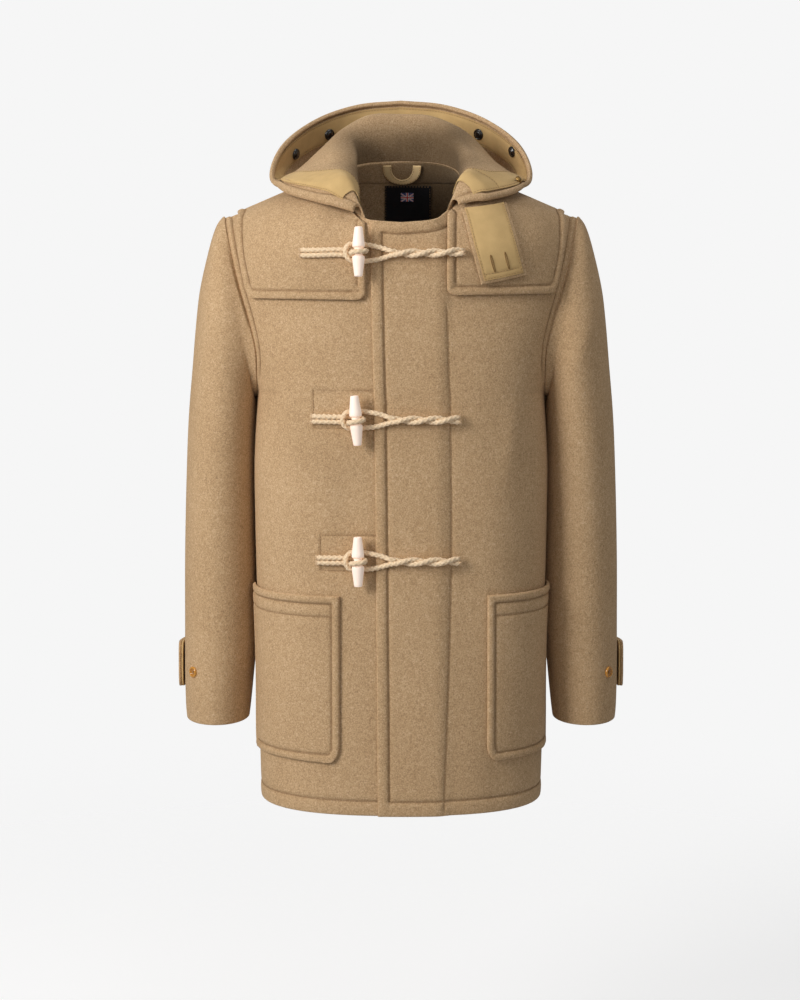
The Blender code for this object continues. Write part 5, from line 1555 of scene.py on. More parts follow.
@dataclass
class Sleeve:
    """One sleeve with its cuff, cuff strap and two buttons.  side +1 is the wearer's left."""

    coat: Coat
    side: int
    head_rows: tuple[float, ...] = (0.0003, 0.0026)     # of its first rings, off the armhole
    head_reach: float = 0.012
    strap_top: float = -0.579
    strap_bottom: float = -0.641
    strap_from: float = -125.0      # degrees round the sleeve
    strap_to: float = 8.0
    strap_corner: float = 14.0
    strap_sink: float = 0.002       # how much nearer the sleeve it lies where it begins
    strap_layer: float = 0.0030
    strap_gap: float = 0.0028
    strap_stitch: float = 0.0060
    button_radius: float = 0.0075
    button_thick: float = 0.0035
    free_button: tuple[float, float] = (48.0, -0.611)   # degrees round the sleeve, height
    free_lift: float = LAYER_GAP + 0.0011
    strap_button: tuple[float, float] = (-12.0, -0.610)
    cuff_stitch: float = 0.0210
    hole_offset: float = 0.0013
    hole_radius: float = 0.00062
    hole_depth: float = 0.0012
    web_x: tuple[float, float] = (0.1840, 0.2040)
    web_y: float = 0.004
    web_z: tuple[float, float] = (-0.268, -0.224)

    @property
    def word(self) -> str:
        """Which of the wearer's arms it is on."""
        return side_word(self.side)

    @property
    def mirror(self) -> tuple[int, int, int]:
        """Factors that turn a point of the left sleeve into one of this sleeve."""
        return self.side, 1, 1

    def _armhole(self, turn: Array, reach: float | None = None) -> Array:
        """The armhole loop at turns 0 to 2 pi: shoulder tip, front, underarm, back.

        Args:
            turn: the turns.
            reach: how far in from the seam it runs, or None for the seam itself.

        Returns:
            Its points, on the wearer's left.
        """
        knots = turn / (2 * math.pi) * 16
        last = self.coat.front.row_count - 1
        halves = []
        for sheet, rows_down in ((self.coat.front, np.minimum(knots, 8)),
                                 (self.coat.back, 16 - np.maximum(knots, 8))):
            ups = 1 - rows_down / last
            across = np.full_like(ups, SEAM) if reach is None else 1 - reach / sheet.width(ups)
            halves.append(sheet.at(across, ups))
        return np.where((knots <= 8)[:, None], *halves)

    def surface(self) -> Surface:
        """The sleeve's tube.

        A ring is a point in_x + (out_x - in_x)(1 + cos t)/2 across and
        mid_y - half_depth sin t along, slanting from in_z to out_z; near the
        armhole rings are mixed with the armhole's own loop.
        """
        turn = np.linspace(0, 2 * math.pi, 241)
        loop = self._armhole(turn)
        centre = loop.mean(axis=0)
        inward = unit((centre - loop) * (0, 1, 1))
        lean = 0.5 * smooth_step(loop[:, 2], RINGS[-1].z, RINGS[-1].z + 0.07)
        leave = unit(np.array([0.88, 0, 0]) + inward * lean[:, None])
        rows = [loop + leave * distance for distance in self.head_rows]
        for ring in SLEEVE_RINGS:
            out = (1 + np.cos(turn)) / 2
            own = np.stack([ring.in_x + (ring.out_x - ring.in_x) * out,
                            ring.mid_y - ring.half_depth * np.sin(turn),
                            ring.in_z + (ring.out_z - ring.in_z) * out], axis=-1)
            rows.append(own * ring.free + (loop + leave * self.head_reach) * (1 - ring.free))
        table = spline(rows, np.linspace(0, 1, 420))
        return Surface(table * self.mirror, closed=True, flip=self.side > 0)

    def tape(self, reach: float, depth: float) -> None:
        """A ring inside the wall that closes the armhole seam, reach wide on either side of it."""
        turn = np.linspace(0, 2 * math.pi, 241)
        inner, loop = self._armhole(turn, reach), self._armhole(turn)
        tube = self.surface()
        outer = tube.at(turn / (2 * math.pi), reach / tube.height(turn / (2 * math.pi))) * self.mirror
        rows = np.array([inner, loop, outer])
        normals = np.cross(np.gradient(loop, axis=0), outer - inner)
        normals = unit(normals * np.sign(np.einsum("ij,ij->i", normals, loop - loop.mean(axis=0)))[:, None])
        surface = Surface((rows - normals * depth) * self.mirror, closed=True, flip=self.side > 0, even=False)
        self.coat.close(f"armhole_seam_tape_{self.word}", surface, f"sleeve_{self.word}", 0.0045)

    def web(self) -> None:
        """A small upright piece that closes the wedge between the sleeve and the side seam."""
        x, z = np.meshgrid(np.linspace(*self.web_x, 20), np.linspace(*self.web_z, 30))
        surface = Surface(np.stack([x * self.side, np.full_like(x, self.web_y), z], axis=-1),
                          flip=self.side < 0)
        self.coat.close(f"underarm_web_{self.word}", surface, f"sleeve_{self.word}")

    def _relief(self, across: Array, up: Array, points: Array) -> Array:
        """Soft folds at the elbow, below the shoulder and above the cuff.

        Each is height * exp(-(slanted distance / half width)^2) over part of the way round.
        """
        turn = across * 360.0
        shift = 0.02 * self.side
        made = np.zeros_like(up)
        for fold in FOLDS:
            around = (turn - fold.middle + 180.0) % 360.0 - 180.0
            along = up - fold.level - shift - 0.0006 * around
            made += (fold.height * np.exp(-(along / fold.half_width) ** 2)
                     * np.exp(-(around / fold.reach) ** 2))
        inner = np.exp(-((turn - 180.0) / 70.0) ** 2)
        return np.where(made > 0, made * (1 - inner), made)

    def _strap_surface(self, lift: float) -> Surface:
        """A cuff strap's layer round the sleeve's outer side, at a height off the sleeve."""
        parts = np.linspace(0, 1, 200)
        rows = np.linspace(0, 1, 80)
        mid, half = (self.strap_top + self.strap_bottom) / 2, (self.strap_top - self.strap_bottom) / 2
        share = rows * 2 - 1
        corner = np.clip((np.abs(share) - 0.5) / 0.5, 0, 1)
        cut = self.strap_corner * (1 - np.sqrt(1 - corner ** 2))
        last = self.strap_to - cut
        angle = self.strap_from + (last[:, None] - self.strap_from) * parts
        height = np.broadcast_to((mid + half * share)[:, None], angle.shape)
        off = lift - self.strap_sink * smooth_step(-angle, 80, -self.strap_from)
        points, _ = self.around(angle, height, off)
        return Surface(points * self.mirror, flip=self.side < 0)

    def around(self, angle: Array, z: Array, lift: Array) -> tuple[Array, Array]:
        """Points and normals on the lower tube, at degrees round it and heights."""
        table = np.array(SLEEVE_RINGS)[::-1]
        out_x, in_x, mid_y, depth = (np.interp(z, table[:, 1], table[:, k]) for k in (0, 2, 4, 5))
        turn, half = np.radians(angle), (out_x - in_x) / 2
        point = np.stack([in_x + half + half * np.cos(turn), mid_y - depth * np.sin(turn),
                          np.broadcast_to(z, np.shape(turn))], axis=-1)
        level = np.zeros(np.shape(turn))
        normal = unit(np.stack([np.cos(turn) / half, -np.sin(turn) / depth, level], axis=-1))
        return point + normal * np.asarray(lift)[..., None], normal

    def _button(self, name: str, angle: float, z: float, lift: float, node: str) -> None:
        """A dished button with a rim, four sunk holes and crossed thread."""
        radius, thick = self.button_radius, self.button_thick
        place, axis = self.around(np.array(angle), np.array(z), np.array(lift))
        place, axis = place * self.mirror, unit(axis * self.mirror)
        rows = [(0, thick * 0.62), (radius * 0.30, thick * 0.62), (radius * 0.52, thick * 0.66),
                (radius * 0.66, thick * 0.95), (radius * 0.82, thick * 1.05), (radius * 0.96, thick * 0.82),
                (radius, thick * 0.5), (radius * 0.94, thick * 0.12), (radius * 0.8, 0), (0, 0)]
        points, faces = turned(smooth_profile(rows, 46), 40, place, axis)
        flat = points - place
        side = unit(np.cross([0, 0, 1.0], axis))
        top = np.cross(axis, side)
        u, v = flat @ side, flat @ top
        away = (np.abs(u) - self.hole_offset) ** 2 + (np.abs(v) - self.hole_offset) ** 2
        hole = np.exp(-(away / self.hole_radius ** 2))
        dent = hole * (flat @ axis > thick * 0.5)
        points = points - axis * (dent * self.hole_depth)[:, None]
        rim = np.hypot(u, v)
        # painted shade: the holes, the furrow at the foot of the rim and the dished middle are marked for
        # darkening
        groove = np.clip(dent + 0.8 * np.exp(-((rim - radius * 0.58) / 0.0006) ** 2)
                         + 0.5 * (rim < radius * 0.5), 0, 1)
        solid(name, points, faces, Finish.AMBER, node, groove=groove)
        arm = np.linspace(-1, 1, 9)[:, None]
        base = place + axis * thick * 0.62
        for letter, slant in (("a", 1), ("b", -1)):
            line = base + unit(side + top * slant) * arm * 0.0019 + axis * (0.0007 * (1 - arm ** 2) - 0.0003)
            body, quads, _ = sweep(line, lambda walked, turn: 0.00042 + 0 * walked * turn, 8,
                                   np.broadcast_to(axis, line.shape))
            solid(f"{name}_thread_{letter}", body, quads, Finish.BUTTON_THREAD)

    def build(self) -> None:
        """Build and dress the sleeve and what is on it."""
        coat, word = self.coat, self.word
        cuff = Track(Edge.TOP, self.cuff_stitch, swell=0.0009)
        coat.sew(Cloth(f"{word}_sleeve_wool", self.surface(), WALL, [cuff], spacing=0.0056,
                       relief=self._relief), Finish.WOOL, f"sleeve_{word}", f"front_{word}", "back")
        gap, layer, inset = self.strap_gap, self.strap_layer, self.strap_stitch
        edges = [Track(edge, inset, start=start, stop=inset, swell=0.0007)
                 for edge, start in ((Edge.BOTTOM, 0.0), (Edge.TOP, 0.0), (Edge.RIGHT, inset))]
        coat.sew(Cloth(f"{word}_cuff_strap_wool", self._strap_surface(gap + 2 * layer), layer, edges,
                       spacing=0.0030), Finish.WOOL, f"cuff_strap_{word}", f"sleeve_{word}")
        coat.sew(Cloth(f"{word}_cuff_strap_lining", self._strap_surface(gap + layer - 0.0003), layer * 0.8,
                       spacing=0.0040), Finish.COTTON, "", f"sleeve_{word}")
        self._button(f"{word}_cuff_button", *self.free_button, self.free_lift, f"cuff_button_{word}")
        self._button(f"{word}_strap_button", *self.strap_button, gap + 2 * layer + LAYER_GAP * 0.4,
                     f"strap_button_{word}")


# ---------------------------------------------------------------- hood
class SnapSize(NamedTuple):
    """A hood snap: side, share of the half rim, distance from the rim, base height and radius."""

    side: int
    share: float
    inset: float
    height: float
    radius: float


@dataclass
class Hood:
    """The folded hood, its cotton facing and its snaps."""

    coat: Coat
    end_at: tuple[float, float] = (7.65, 6.7)
    side_shift: float = 0.010
    seam_lift: float = -0.0010
    facing_out: tuple[float, float, float] = (0.009, 0.019, 0.013)   # back, right and left front
    facing_width: tuple[float, float] = (0.033, 0.050)
    facing_taper: float = 0.40
    facing_end: tuple[float, float] = (0.93, 0.91)
    facing_lift: float = 0.0020
    snaps: tuple[SnapSize, ...] = (
        SnapSize(-1, 0.21, 0.030, 0.0026, 0.0080), SnapSize(-1, 0.33, 0.030, 0.0028, 0.0080),
        SnapSize(1, 0.23, 0.026, 0.0026, 0.0080), SnapSize(1, 0.36, 0.018, 0.0026, 0.0080),
        SnapSize(1, 0.62, 0.022, 0.0020, 0.0050))
    snap_thick: float = 0.0035

    def _table(self, shares: Array) -> Array:
        """Guide points (guide, column, 3) at signed shares: 0 back centre, 1 front end."""
        side, part = np.where(shares < 0, -1.0, 1.0), np.abs(shares)
        mirror = np.stack([side, np.ones_like(side), np.ones_like(side)], axis=-1)
        table = np.stack([spline(guide, part) for guide in HOOD_GUIDES])
        table[..., 0] = np.maximum(table[..., 0], 0) * side
        last, base = len(NECKLINE) - 1, len(HOOD_GUIDES[0]) - 1
        ends = np.where(side < 0, self.end_at[0], self.end_at[1])
        knots = base * part + (ends - base) * smooth_step(part, 0.45, 1.0)
        table[0] = spline(NECKLINE, knots / last) * mirror
        moved = (spline(NECKLINE, ends / last) - np.array(NECKLINE[base])) * mirror
        table[1:] += moved * smooth_step(part, 0.62, 1.0)[:, None]
        beside = self.side_shift * smooth_step(part, 0.2, 0.5) * (1 - smooth_step(part, 0.72, 0.95))
        table[1, :, 0] += beside
        table[2, :, 0] += beside * 0.4
        table[0] *= (0.982, 0.982, 1.0)
        table[0, :, 2] += self.seam_lift
        return table

    def sections(self, shares: Array) -> Array:
        """Dense sections (sample, column, 3) of the hood from its neck seam to its rim."""
        ups = np.linspace(0, 1, 420)
        made, relief = spline(self._table(shares), ups), self._folds(shares, ups)
        normal = unit(np.cross(np.gradient(made, axis=1), np.gradient(made, axis=0)))
        return made + normal * relief[..., None]

    @staticmethod
    def _folds(shares: Array, ups: Array) -> Array:
        """Soft unevenness of the roll and the pouch: slow waves that fade out at the rim and the neck."""
        across, up = np.meshgrid(shares, ups)
        calm = (smooth_step(up, 0.08, 0.25) * (1 - smooth_step(up, 0.80, 0.95))
                * (1 - smooth_step(np.abs(across), 0.5, 0.75)))
        waves = wobble(across + 0.3 * up, 0.55, 0.8) + 0.7 * wobble(up - 0.2 * across, 0.30, 2.3)
        return 0.0022 * calm * waves

    def _facing_surface(self, sections: Array, shares: Array) -> Surface:
        """The band on the hood's inside, a little way in from the rim."""
        bands = []
        parts = np.linspace(1.0, 0.0, 60)
        for share, section in zip(shares, np.swapaxes(sections, 0, 1)):
            length = run_length(section)[-1]
            near = float(smooth_step(abs(share), 0.50, 0.75))
            front = self.facing_out[1] if share < 0 else self.facing_out[2]
            outer = self.facing_out[0] + (front - self.facing_out[0]) * near
            outer *= 1 - self.facing_taper * float(smooth_step(abs(share), 0.80, 0.95))
            to_crest = run_length(section)[len(section) * 2 // (len(HOOD_GUIDES) - 1)]
            width = self.facing_width[0] + (self.facing_width[1] - self.facing_width[0]) * near
            over = float(smooth_step(abs(share), 0.66, 0.82))
            width = min(width + 0.012 * over, length - outer - to_crest * (1 - 0.55 * over))
            bands.append(at_lengths(section, length - outer - width * parts))
        return Surface(np.stack(bands, axis=1), folded=True).moved(self.facing_lift)

    def _snap(self, number: int, row: SnapSize) -> None:
        """A domed press stud with a raised ring, on the hood's inside."""
        share = row.side * row.share
        near = self.sections(np.array([share - 0.01, share, share + 0.01]))
        insets = np.array([row.inset + 0.003, row.inset, row.inset - 0.003])
        lines = [at_lengths(near[:, k], run_length(near[:, k])[-1] - insets) for k in range(3)]
        normal = unit(np.cross(lines[2][1] - lines[0][1], lines[1][2] - lines[1][0]))
        place = lines[1][1] + normal * row.height
        r, h = row.radius, self.snap_thick
        rows = [(0, h), (r * 0.30, h * 0.98), (r * 0.50, h * 0.88), (r * 0.60, h * 0.62),
                (r * 0.68, h * 0.60), (r * 0.80, h * 0.72), (r * 0.92, h * 0.5), (r, h * 0.18),
                (r * 0.98, 0), (r * 0.8, -0.0002), (0, -0.0002)]
        points, faces = turned(smooth_profile(rows, 40), 36, place, normal)
        solid(f"hood_press_stud_{number}", points, faces,
              Finish.BRASS if number == len(self.snaps) else Finish.SNAP, f"hood_snap_{number}")

    def build(self) -> None:
        """Build and dress the hood, its facing and its snaps."""
        coat = self.coat
        shares = np.linspace(-1, 1, 361)
        sections = self.sections(shares)
        rim = (0.0150, 0.0140, 0.0100, 0.0078, 0.0072, 0.0078, 0.0090, 0.0110, 0.0120)
        tracks = [Track(Edge.TOP, rim, swell=0.0024, depth=0.0014)]
        backs = [Track(Edge.TOP, rim, swell=0.0022, depth=0.0012)]
        hood = Surface(sections, folded=True)
        middle = tuple(float(w) / 2 for w in hood.width(np.linspace(0, 1, 12)))
        backs.append(Track(Edge.LEFT, middle, depth=0.0012, sewn=False))
        walked = np.array([run_length(section) for section in np.swapaxes(sections, 0, 1)])
        crest = walked[:, sections.shape[0] * 2 // (len(HOOD_GUIDES) - 1)] / walked[:, -1]
        across_of = np.linspace(0, 1, len(crest))

        def hollow(across: Array, up: Array, visible: bool) -> Array:
            """Painted shade on the visible side of the wall round the neck, below the fold that leads over
            it, more on the wearer's left.
            """
            depth = 1 - smooth_step(up / np.interp(across, across_of, crest), 0.35, 1.10)
            return depth * (0.70 + 0.22 * smooth_step(across, 0.42, 0.60)) if visible else np.zeros_like(up)

        coat.sew(Cloth("hood_wool", hood, HOOD_WALL, tracks, spacing=0.0060, roundness=0.9, back_tracks=backs,
                       shade=hollow), Finish.WOOL, "hood", "back", "yoke_back")
        keep = (shares >= -self.facing_end[0]) & (shares <= self.facing_end[1])
        surface = self._facing_surface(sections[:, keep], shares[keep])
        edge = [Track(Edge.TOP, 0.0022, depth=0.0005), Track(Edge.BOTTOM, 0.0022, depth=0.0005),
                Track(Edge.RIGHT, 0.040, depth=0.0006)]
        coat.sew(Cloth("hood_facing_cotton", surface, FACING, edge, spacing=0.0042, pucker=0.00030,
                       relief=self._crinkle), Finish.COTTON, "hood_facing", "hood")
        for number, row in enumerate(self.snaps, 1):
            self._snap(number, row)

    @staticmethod
    def _crinkle(across: Array, up: Array, points: Array) -> Array:
        """Slight waves of the facing, more of them on the front flaps."""
        flap = smooth_step(np.abs(across - 0.5), 0.25, 0.42)
        wave = wobble(across, 0.030, 1.1) * wobble(up + 6 * across, 0.7, 0.4)
        return (0.00022 + 0.00045 * flap) * wave * np.sin(math.pi * np.clip(up, 0, 1))


# ---------------------------------------------------------------- laid on the sheets
@dataclass
class Yokes:
    """The shoulder yokes: two in front and one over the back."""

    coat: Coat
    bottom: ClassVar[tuple[float, float]] = (-0.107, -0.101)    # wearer's right, left
    inner: ClassVar[tuple[float, float]] = (0.045, 0.059)
    armhole: float = 0.017
    neck_gap: float = 0.0060
    seam_gap: float = 0.0004
    back_bottom: float = -0.125
    corner: float = 0.010
    front_size: tuple[float, float] = (0.135, 0.115)    # rough width and height, for the corners
    back_size: tuple[float, float] = (0.40, 0.16)

    def _top(self, sheet: Sheet, across: Array) -> Array:
        """Where a yoke ends: short of the neckline, at the shoulder seam."""
        share = NECK_SHARE[sheet.facing]
        seam = smooth_step(np.abs(across), share - 0.03, share + 0.03)
        return sheet.below_top(across, self.neck_gap + (self.seam_gap - self.neck_gap) * seam)

    def _rounded(self, part: Array, up: Array, width: float, height: float) -> Array:
        """Shares across, drawn in beside the rounded lower corners.

        At a height h below the radius r the edge is in by r - sqrt(r^2 - (r - h)^2).
        """
        over = np.clip(1 - up * height / self.corner, 0, 1)
        inward = self.corner * (1 - np.sqrt(1 - over ** 2)) / width
        return inward + part * (1 - inward - inward)

    def _front(self, side: int) -> Surface:
        """One front yoke's surface."""
        sheet = self.coat.front
        index = 0 if side < 0 else 1
        columns = np.linspace(0, 0.999, 160)
        lows = sheet.up_of_z(columns * side, self.bottom[index])
        tops = self._top(sheet, columns * side)
        ups = np.linspace(0.5, 1, 160)
        inners = sheet.across_of_x(self.inner[index] * side, ups) * side
        ends = 1 - self.armhole / sheet.width(ups)
        part, share = np.meshgrid(np.linspace(0, 1, 160), np.linspace(0, 1, 160))
        part = self._rounded(part, share, *self.front_size)
        across = 0.3 + 0.6 * part
        for _ in range(14):
            low, high = np.interp(across, columns, lows), np.interp(across, columns, tops)
            up = low + (high - low) * share
            begin, end = np.interp(up, ups, inners), np.interp(up, ups, ends)
            across = begin + (end - begin) * part
        return self.coat.over_front(side, across, up, self._stand(YOKE_GAP, part, share))

    @staticmethod
    def _stand(gap: float, part: Array, share: Array) -> Array:
        """Height of a yoke's visible side, less at the shoulder point: part 1 and share 1."""
        tip = smooth_step(part, 0.70, 1.0) * smooth_step(share, 0.72, 1.0)
        return WALL + gap * (1 - 0.8 * tip)

    def _back(self) -> Surface:
        """The back yoke's surface."""
        sheet = self.coat.back
        columns = np.linspace(-0.999, 0.999, 240)
        lows, tops = sheet.up_of_z(columns, self.back_bottom), self._top(sheet, columns)
        ups = np.linspace(0.5, 1, 160)
        ends = 1 - self.armhole / sheet.width(ups)
        part, share = np.meshgrid(np.linspace(0, 1, 300), np.linspace(0, 1, 160))
        part = self._rounded(part, share, *self.back_size) * 2 - 1
        across = 0.9 * part
        for _ in range(14):
            low, high = np.interp(across, columns, lows), np.interp(across, columns, tops)
            up = low + (high - low) * share
            across = np.interp(up, ups, ends) * part
        return Surface(sheet.at(across, up, self._stand(BACK_YOKE_GAP, np.abs(part), share)), flip=True)

    def build(self) -> None:
        """Build and dress the yokes."""
        coat, inset = self.coat, PATCH_STITCH
        bottom = Track(Edge.BOTTOM, inset, start=inset, stop=inset, swell=0.0019)
        left, right = (Track(edge, inset, start=inset, swell=0.0017) for edge in (Edge.LEFT, Edge.RIGHT))
        for side in (1, -1):
            word = side_word(side)
            tracks = [Track(Edge.LEFT, inset, start=inset, swell=0.0019), bottom, right]
            coat.sew(Cloth(f"{word}_yoke_wool", self._front(side), WALL, tracks, spacing=0.0050),
                     Finish.WOOL, f"yoke_{word}", f"front_{word}")
        coat.sew(Cloth("back_yoke_wool", self._back(), WALL, [left, right, bottom], spacing=0.0060),
                 Finish.WOOL, "yoke_back", "back")


@dataclass
class Pockets:
    """Two patch pockets with a deep mouth hem and cut lower corners."""

    coat: Coat
    top: float = -0.490
    bottom: float = -0.710
    inner: tuple[float, float] = (0.079, 0.1115)        # wearer's right, left
    width: tuple[float, float] = (0.170, 0.157)
    corner_across: float = 0.013
    corner_up: float = 0.019
    mouth: float = 0.0025
    mouth_stitches: tuple[float, float] = (0.0108, 0.0275)

    def _surface(self, side: int) -> Surface:
        """One pocket's surface: rows level across the sheet, standing off a little at the mouth."""
        sheet = self.coat.front
        index = 0 if side < 0 else 1
        heights = np.linspace(self.bottom, self.top, 220)
        low, high = (float(sheet.up_of_z(np.full(1, 0.6 * side), z)[0]) for z in (self.bottom, self.top))
        ladder = np.linspace(low, high, 220)
        width = sheet.width(ladder)
        over = np.clip(1 - (heights - self.bottom) / self.corner_up, 0, 1)
        cut = self.corner_across * (0.35 * over + 0.65 * (1 - np.sqrt(1 - over ** 2)))
        begin = sheet.across_of_x(self.inner[index] * side, ladder) * side
        left = begin + cut / width
        right = np.minimum(begin + (self.width[index] - cut) / width, 0.999)
        part = np.linspace(0, 1, 200)
        across = left[:, None] + (right - left)[:, None] * part
        up = np.broadcast_to(ladder[:, None], across.shape)
        stand = self.mouth * smooth_step(heights, self.top - 0.07, self.top)[:, None] * np.sin(math.pi * part)
        return self.coat.over_front(side, across, up, LAYER_GAP + WALL + stand)

    def build(self) -> None:
        """Build and dress both pockets."""
        coat, inset = self.coat, PATCH_STITCH
        near, far = self.mouth_stitches
        tracks = [Track(Edge.LEFT, inset, start=inset, stop=near, swell=0.0019),
                  Track(Edge.RIGHT, inset, start=inset, stop=near, swell=0.0017),
                  Track(Edge.BOTTOM, inset, start=inset, stop=inset, swell=0.0019),
                  Track(Edge.TOP, near, start=inset, swell=0.0017),
                  Track(Edge.TOP, far, start=inset, depth=0.0012)]
        for side in (1, -1):
            word = side_word(side)
            coat.sew(Cloth(f"{word}_pocket_wool", self._surface(side), WALL, tracks, spacing=0.0050,
                           relief=self._slack), Finish.WOOL, f"pocket_{word}", f"front_{word}")

    @staticmethod
    def _slack(across: Array, up: Array, points: Array) -> Array:
        """A slight belly and two slow waves in the pocket's middle."""
        calm = np.sin(math.pi * np.clip(across, 0, 1)) * np.sin(math.pi * np.clip(up, 0, 1))
        return calm * (0.0022 + 0.0009 * wobble(across + 0.4 * up, 0.9, 0.6))


@dataclass
class ThroatTab:
    """The wool tab that hangs over the wearer's left yoke, with its cotton facing outwards."""

    coat: Coat
    corners: tuple[tuple[float, float], ...] = (
        (0.0778, 0.003), (0.1337, 0.011), (0.1588, -0.0756), (0.1012, -0.0870))
    lift: float = 0.0104
    border: float = 0.0045
    holes: tuple[tuple[float, float], ...] = ((0.30, 0.80), (0.66, 0.80))
    hole_half: float = 0.0110
    hole_wide: float = 0.0012
    whip_radius: float = 0.00058
    whip_pitch: float = 0.0011

    def _surface(self, lift: float, border: float) -> Surface:
        """A four-cornered surface over the front sheet, x and z mixed from its corners."""
        top_left, top_right, low_right, low_left = (np.array(corner) for corner in self.corners)
        width = float(np.linalg.norm(top_right - top_left))
        length = float(np.linalg.norm(low_left - top_left))
        part = np.linspace(border / width, 1 - border / width, 90)
        down = np.linspace(1 - border / length, 0.0, 110)
        part, down = np.meshgrid(part, down)
        x, z = ((top_left[k] + (top_right[k] - top_left[k]) * part) * (1 - down)
                + (low_left[k] + (low_right[k] - low_left[k]) * part) * down for k in range(2))
        across, up = self.coat.front.place(x, z)
        curl = 0.0012 * np.sin(3.0 * down + 0.6) * (part - 0.4) + 0.001 * down
        return Surface(self.coat.front.at(across, up, lift + curl))

    def _hole(self, surface: Surface, number: int, across: float, up: float) -> None:
        """A buttonhole: a ring of whipped thread."""
        height, width = float(surface.height(across)), float(surface.width(up))
        turn = np.linspace(0, 2 * math.pi, 120)
        a = across + self.hole_wide * np.sign(np.cos(turn)) * np.abs(np.cos(turn)) ** 0.8 / width
        b = up + self.hole_half * np.sin(turn) / height
        line, normal = surface.at(a, b, 0.0002), surface.normal(a, b)

        def whip(walked: Array, angle: Array) -> Array:
            """Radius of the ring: a bead for each turn of thread."""
            bead = np.abs(np.sin(walked * math.pi / self.whip_pitch))
            return self.whip_radius * (1 + 0.22 * bead + 0 * angle)

        points, faces, uv = sweep(line, whip, 8, normal)
        solid(f"throat_tab_buttonhole_{number}", points, faces, Finish.WHIPPING, uv=uv)

    def build(self) -> None:
        """Build and dress the tab, its facing and its buttonholes."""
        coat = self.coat
        wool = self._surface(self.lift, 0.0)
        coat.sew(Cloth("throat_tab_wool", wool, WALL, spacing=0.0030), Finish.WOOL, "throat_tab", "hood",
                 "yoke_left")
        cotton = self._surface(self.lift + FACING + 0.0002, self.border)
        edges = [Track(Edge.LEFT, 0.0020, depth=0.0004), Track(Edge.RIGHT, 0.0020, depth=0.0004),
                 Track(Edge.BOTTOM, 0.0080, start=0.002, stop=0.002, depth=0.0005),
                 Track(Edge.BOTTOM, 0.0020, depth=0.0004)]
        coat.sew(Cloth("throat_tab_cotton", cotton, FACING, edges, spacing=0.0026, pucker=0.00022),
                 Finish.COTTON, "throat_tab_facing", "throat_tab")
        for number, (across, down) in enumerate(self.holes, 1):
            self._hole(cotton, number, across, 1 - down)


# ---------------------------------------------------------------- fastenings
class Fastening(NamedTuple):
    """A toggle's place in front view, its tilt in degrees, and where its two cords are sewn."""

    x: float
    z: float
    tilt: float
    cord_from: float
    loop_to: float


class Course:
    """A line across the closed front at one height, on which a cord lies."""

    def __init__(self, coat: Coat, z: float):
        """Find the line and how high the layers on it reach.

        Args:
            coat: the coat.
            z: the height.
        """
        sheet = coat.front
        self.xs = np.linspace(-0.140, 0.105, 99)
        across, up = sheet.place(self.xs, np.full_like(self.xs, z))
        self.points, self.normals = sheet.at(across, up), sheet.normal(across, up)
        on_lap = self.xs > -(LAP_HEM + (LAP_TOP - LAP_HEM) * up)
        inner, bottom = np.where(self.xs < 0, *Yokes.inner), np.where(self.xs < 0, *Yokes.bottom)
        on_yoke = (np.abs(self.xs) > inner) & (z > bottom)
        steps = on_lap * lap_lift(self.xs) + on_yoke * (YOKE_GAP + WALL)
        level = np.max([np.roll(steps, shift) for shift in (-2, -1, 0, 1, 2)], axis=0)
        for _ in range(8):
            level[1:-1] = np.maximum(level[1:-1], (level[:-2] + level[2:]) / 2)
        self.level = level

    def axes(self, x: Array) -> tuple[Array, Array, Array]:
        """Directions along the line, up the cloth and out of it."""
        out = unit(read_at(x, self.xs, self.normals))
        upward = unit(np.cross(out, (1.0, 0.0, 0.0)))
        return np.cross(upward, out), upward, out

    def at(self, route: Array) -> tuple[Array, Array]:
        """Points and outward directions for rows of (x, height up the cloth, height out of it)."""
        x, above, height = route.T
        _, upward, out = self.axes(x)
        raised = np.interp(x, self.xs, self.level) + height
        return read_at(x, self.xs, self.points) + upward * above[:, None] + out * raised[:, None], out


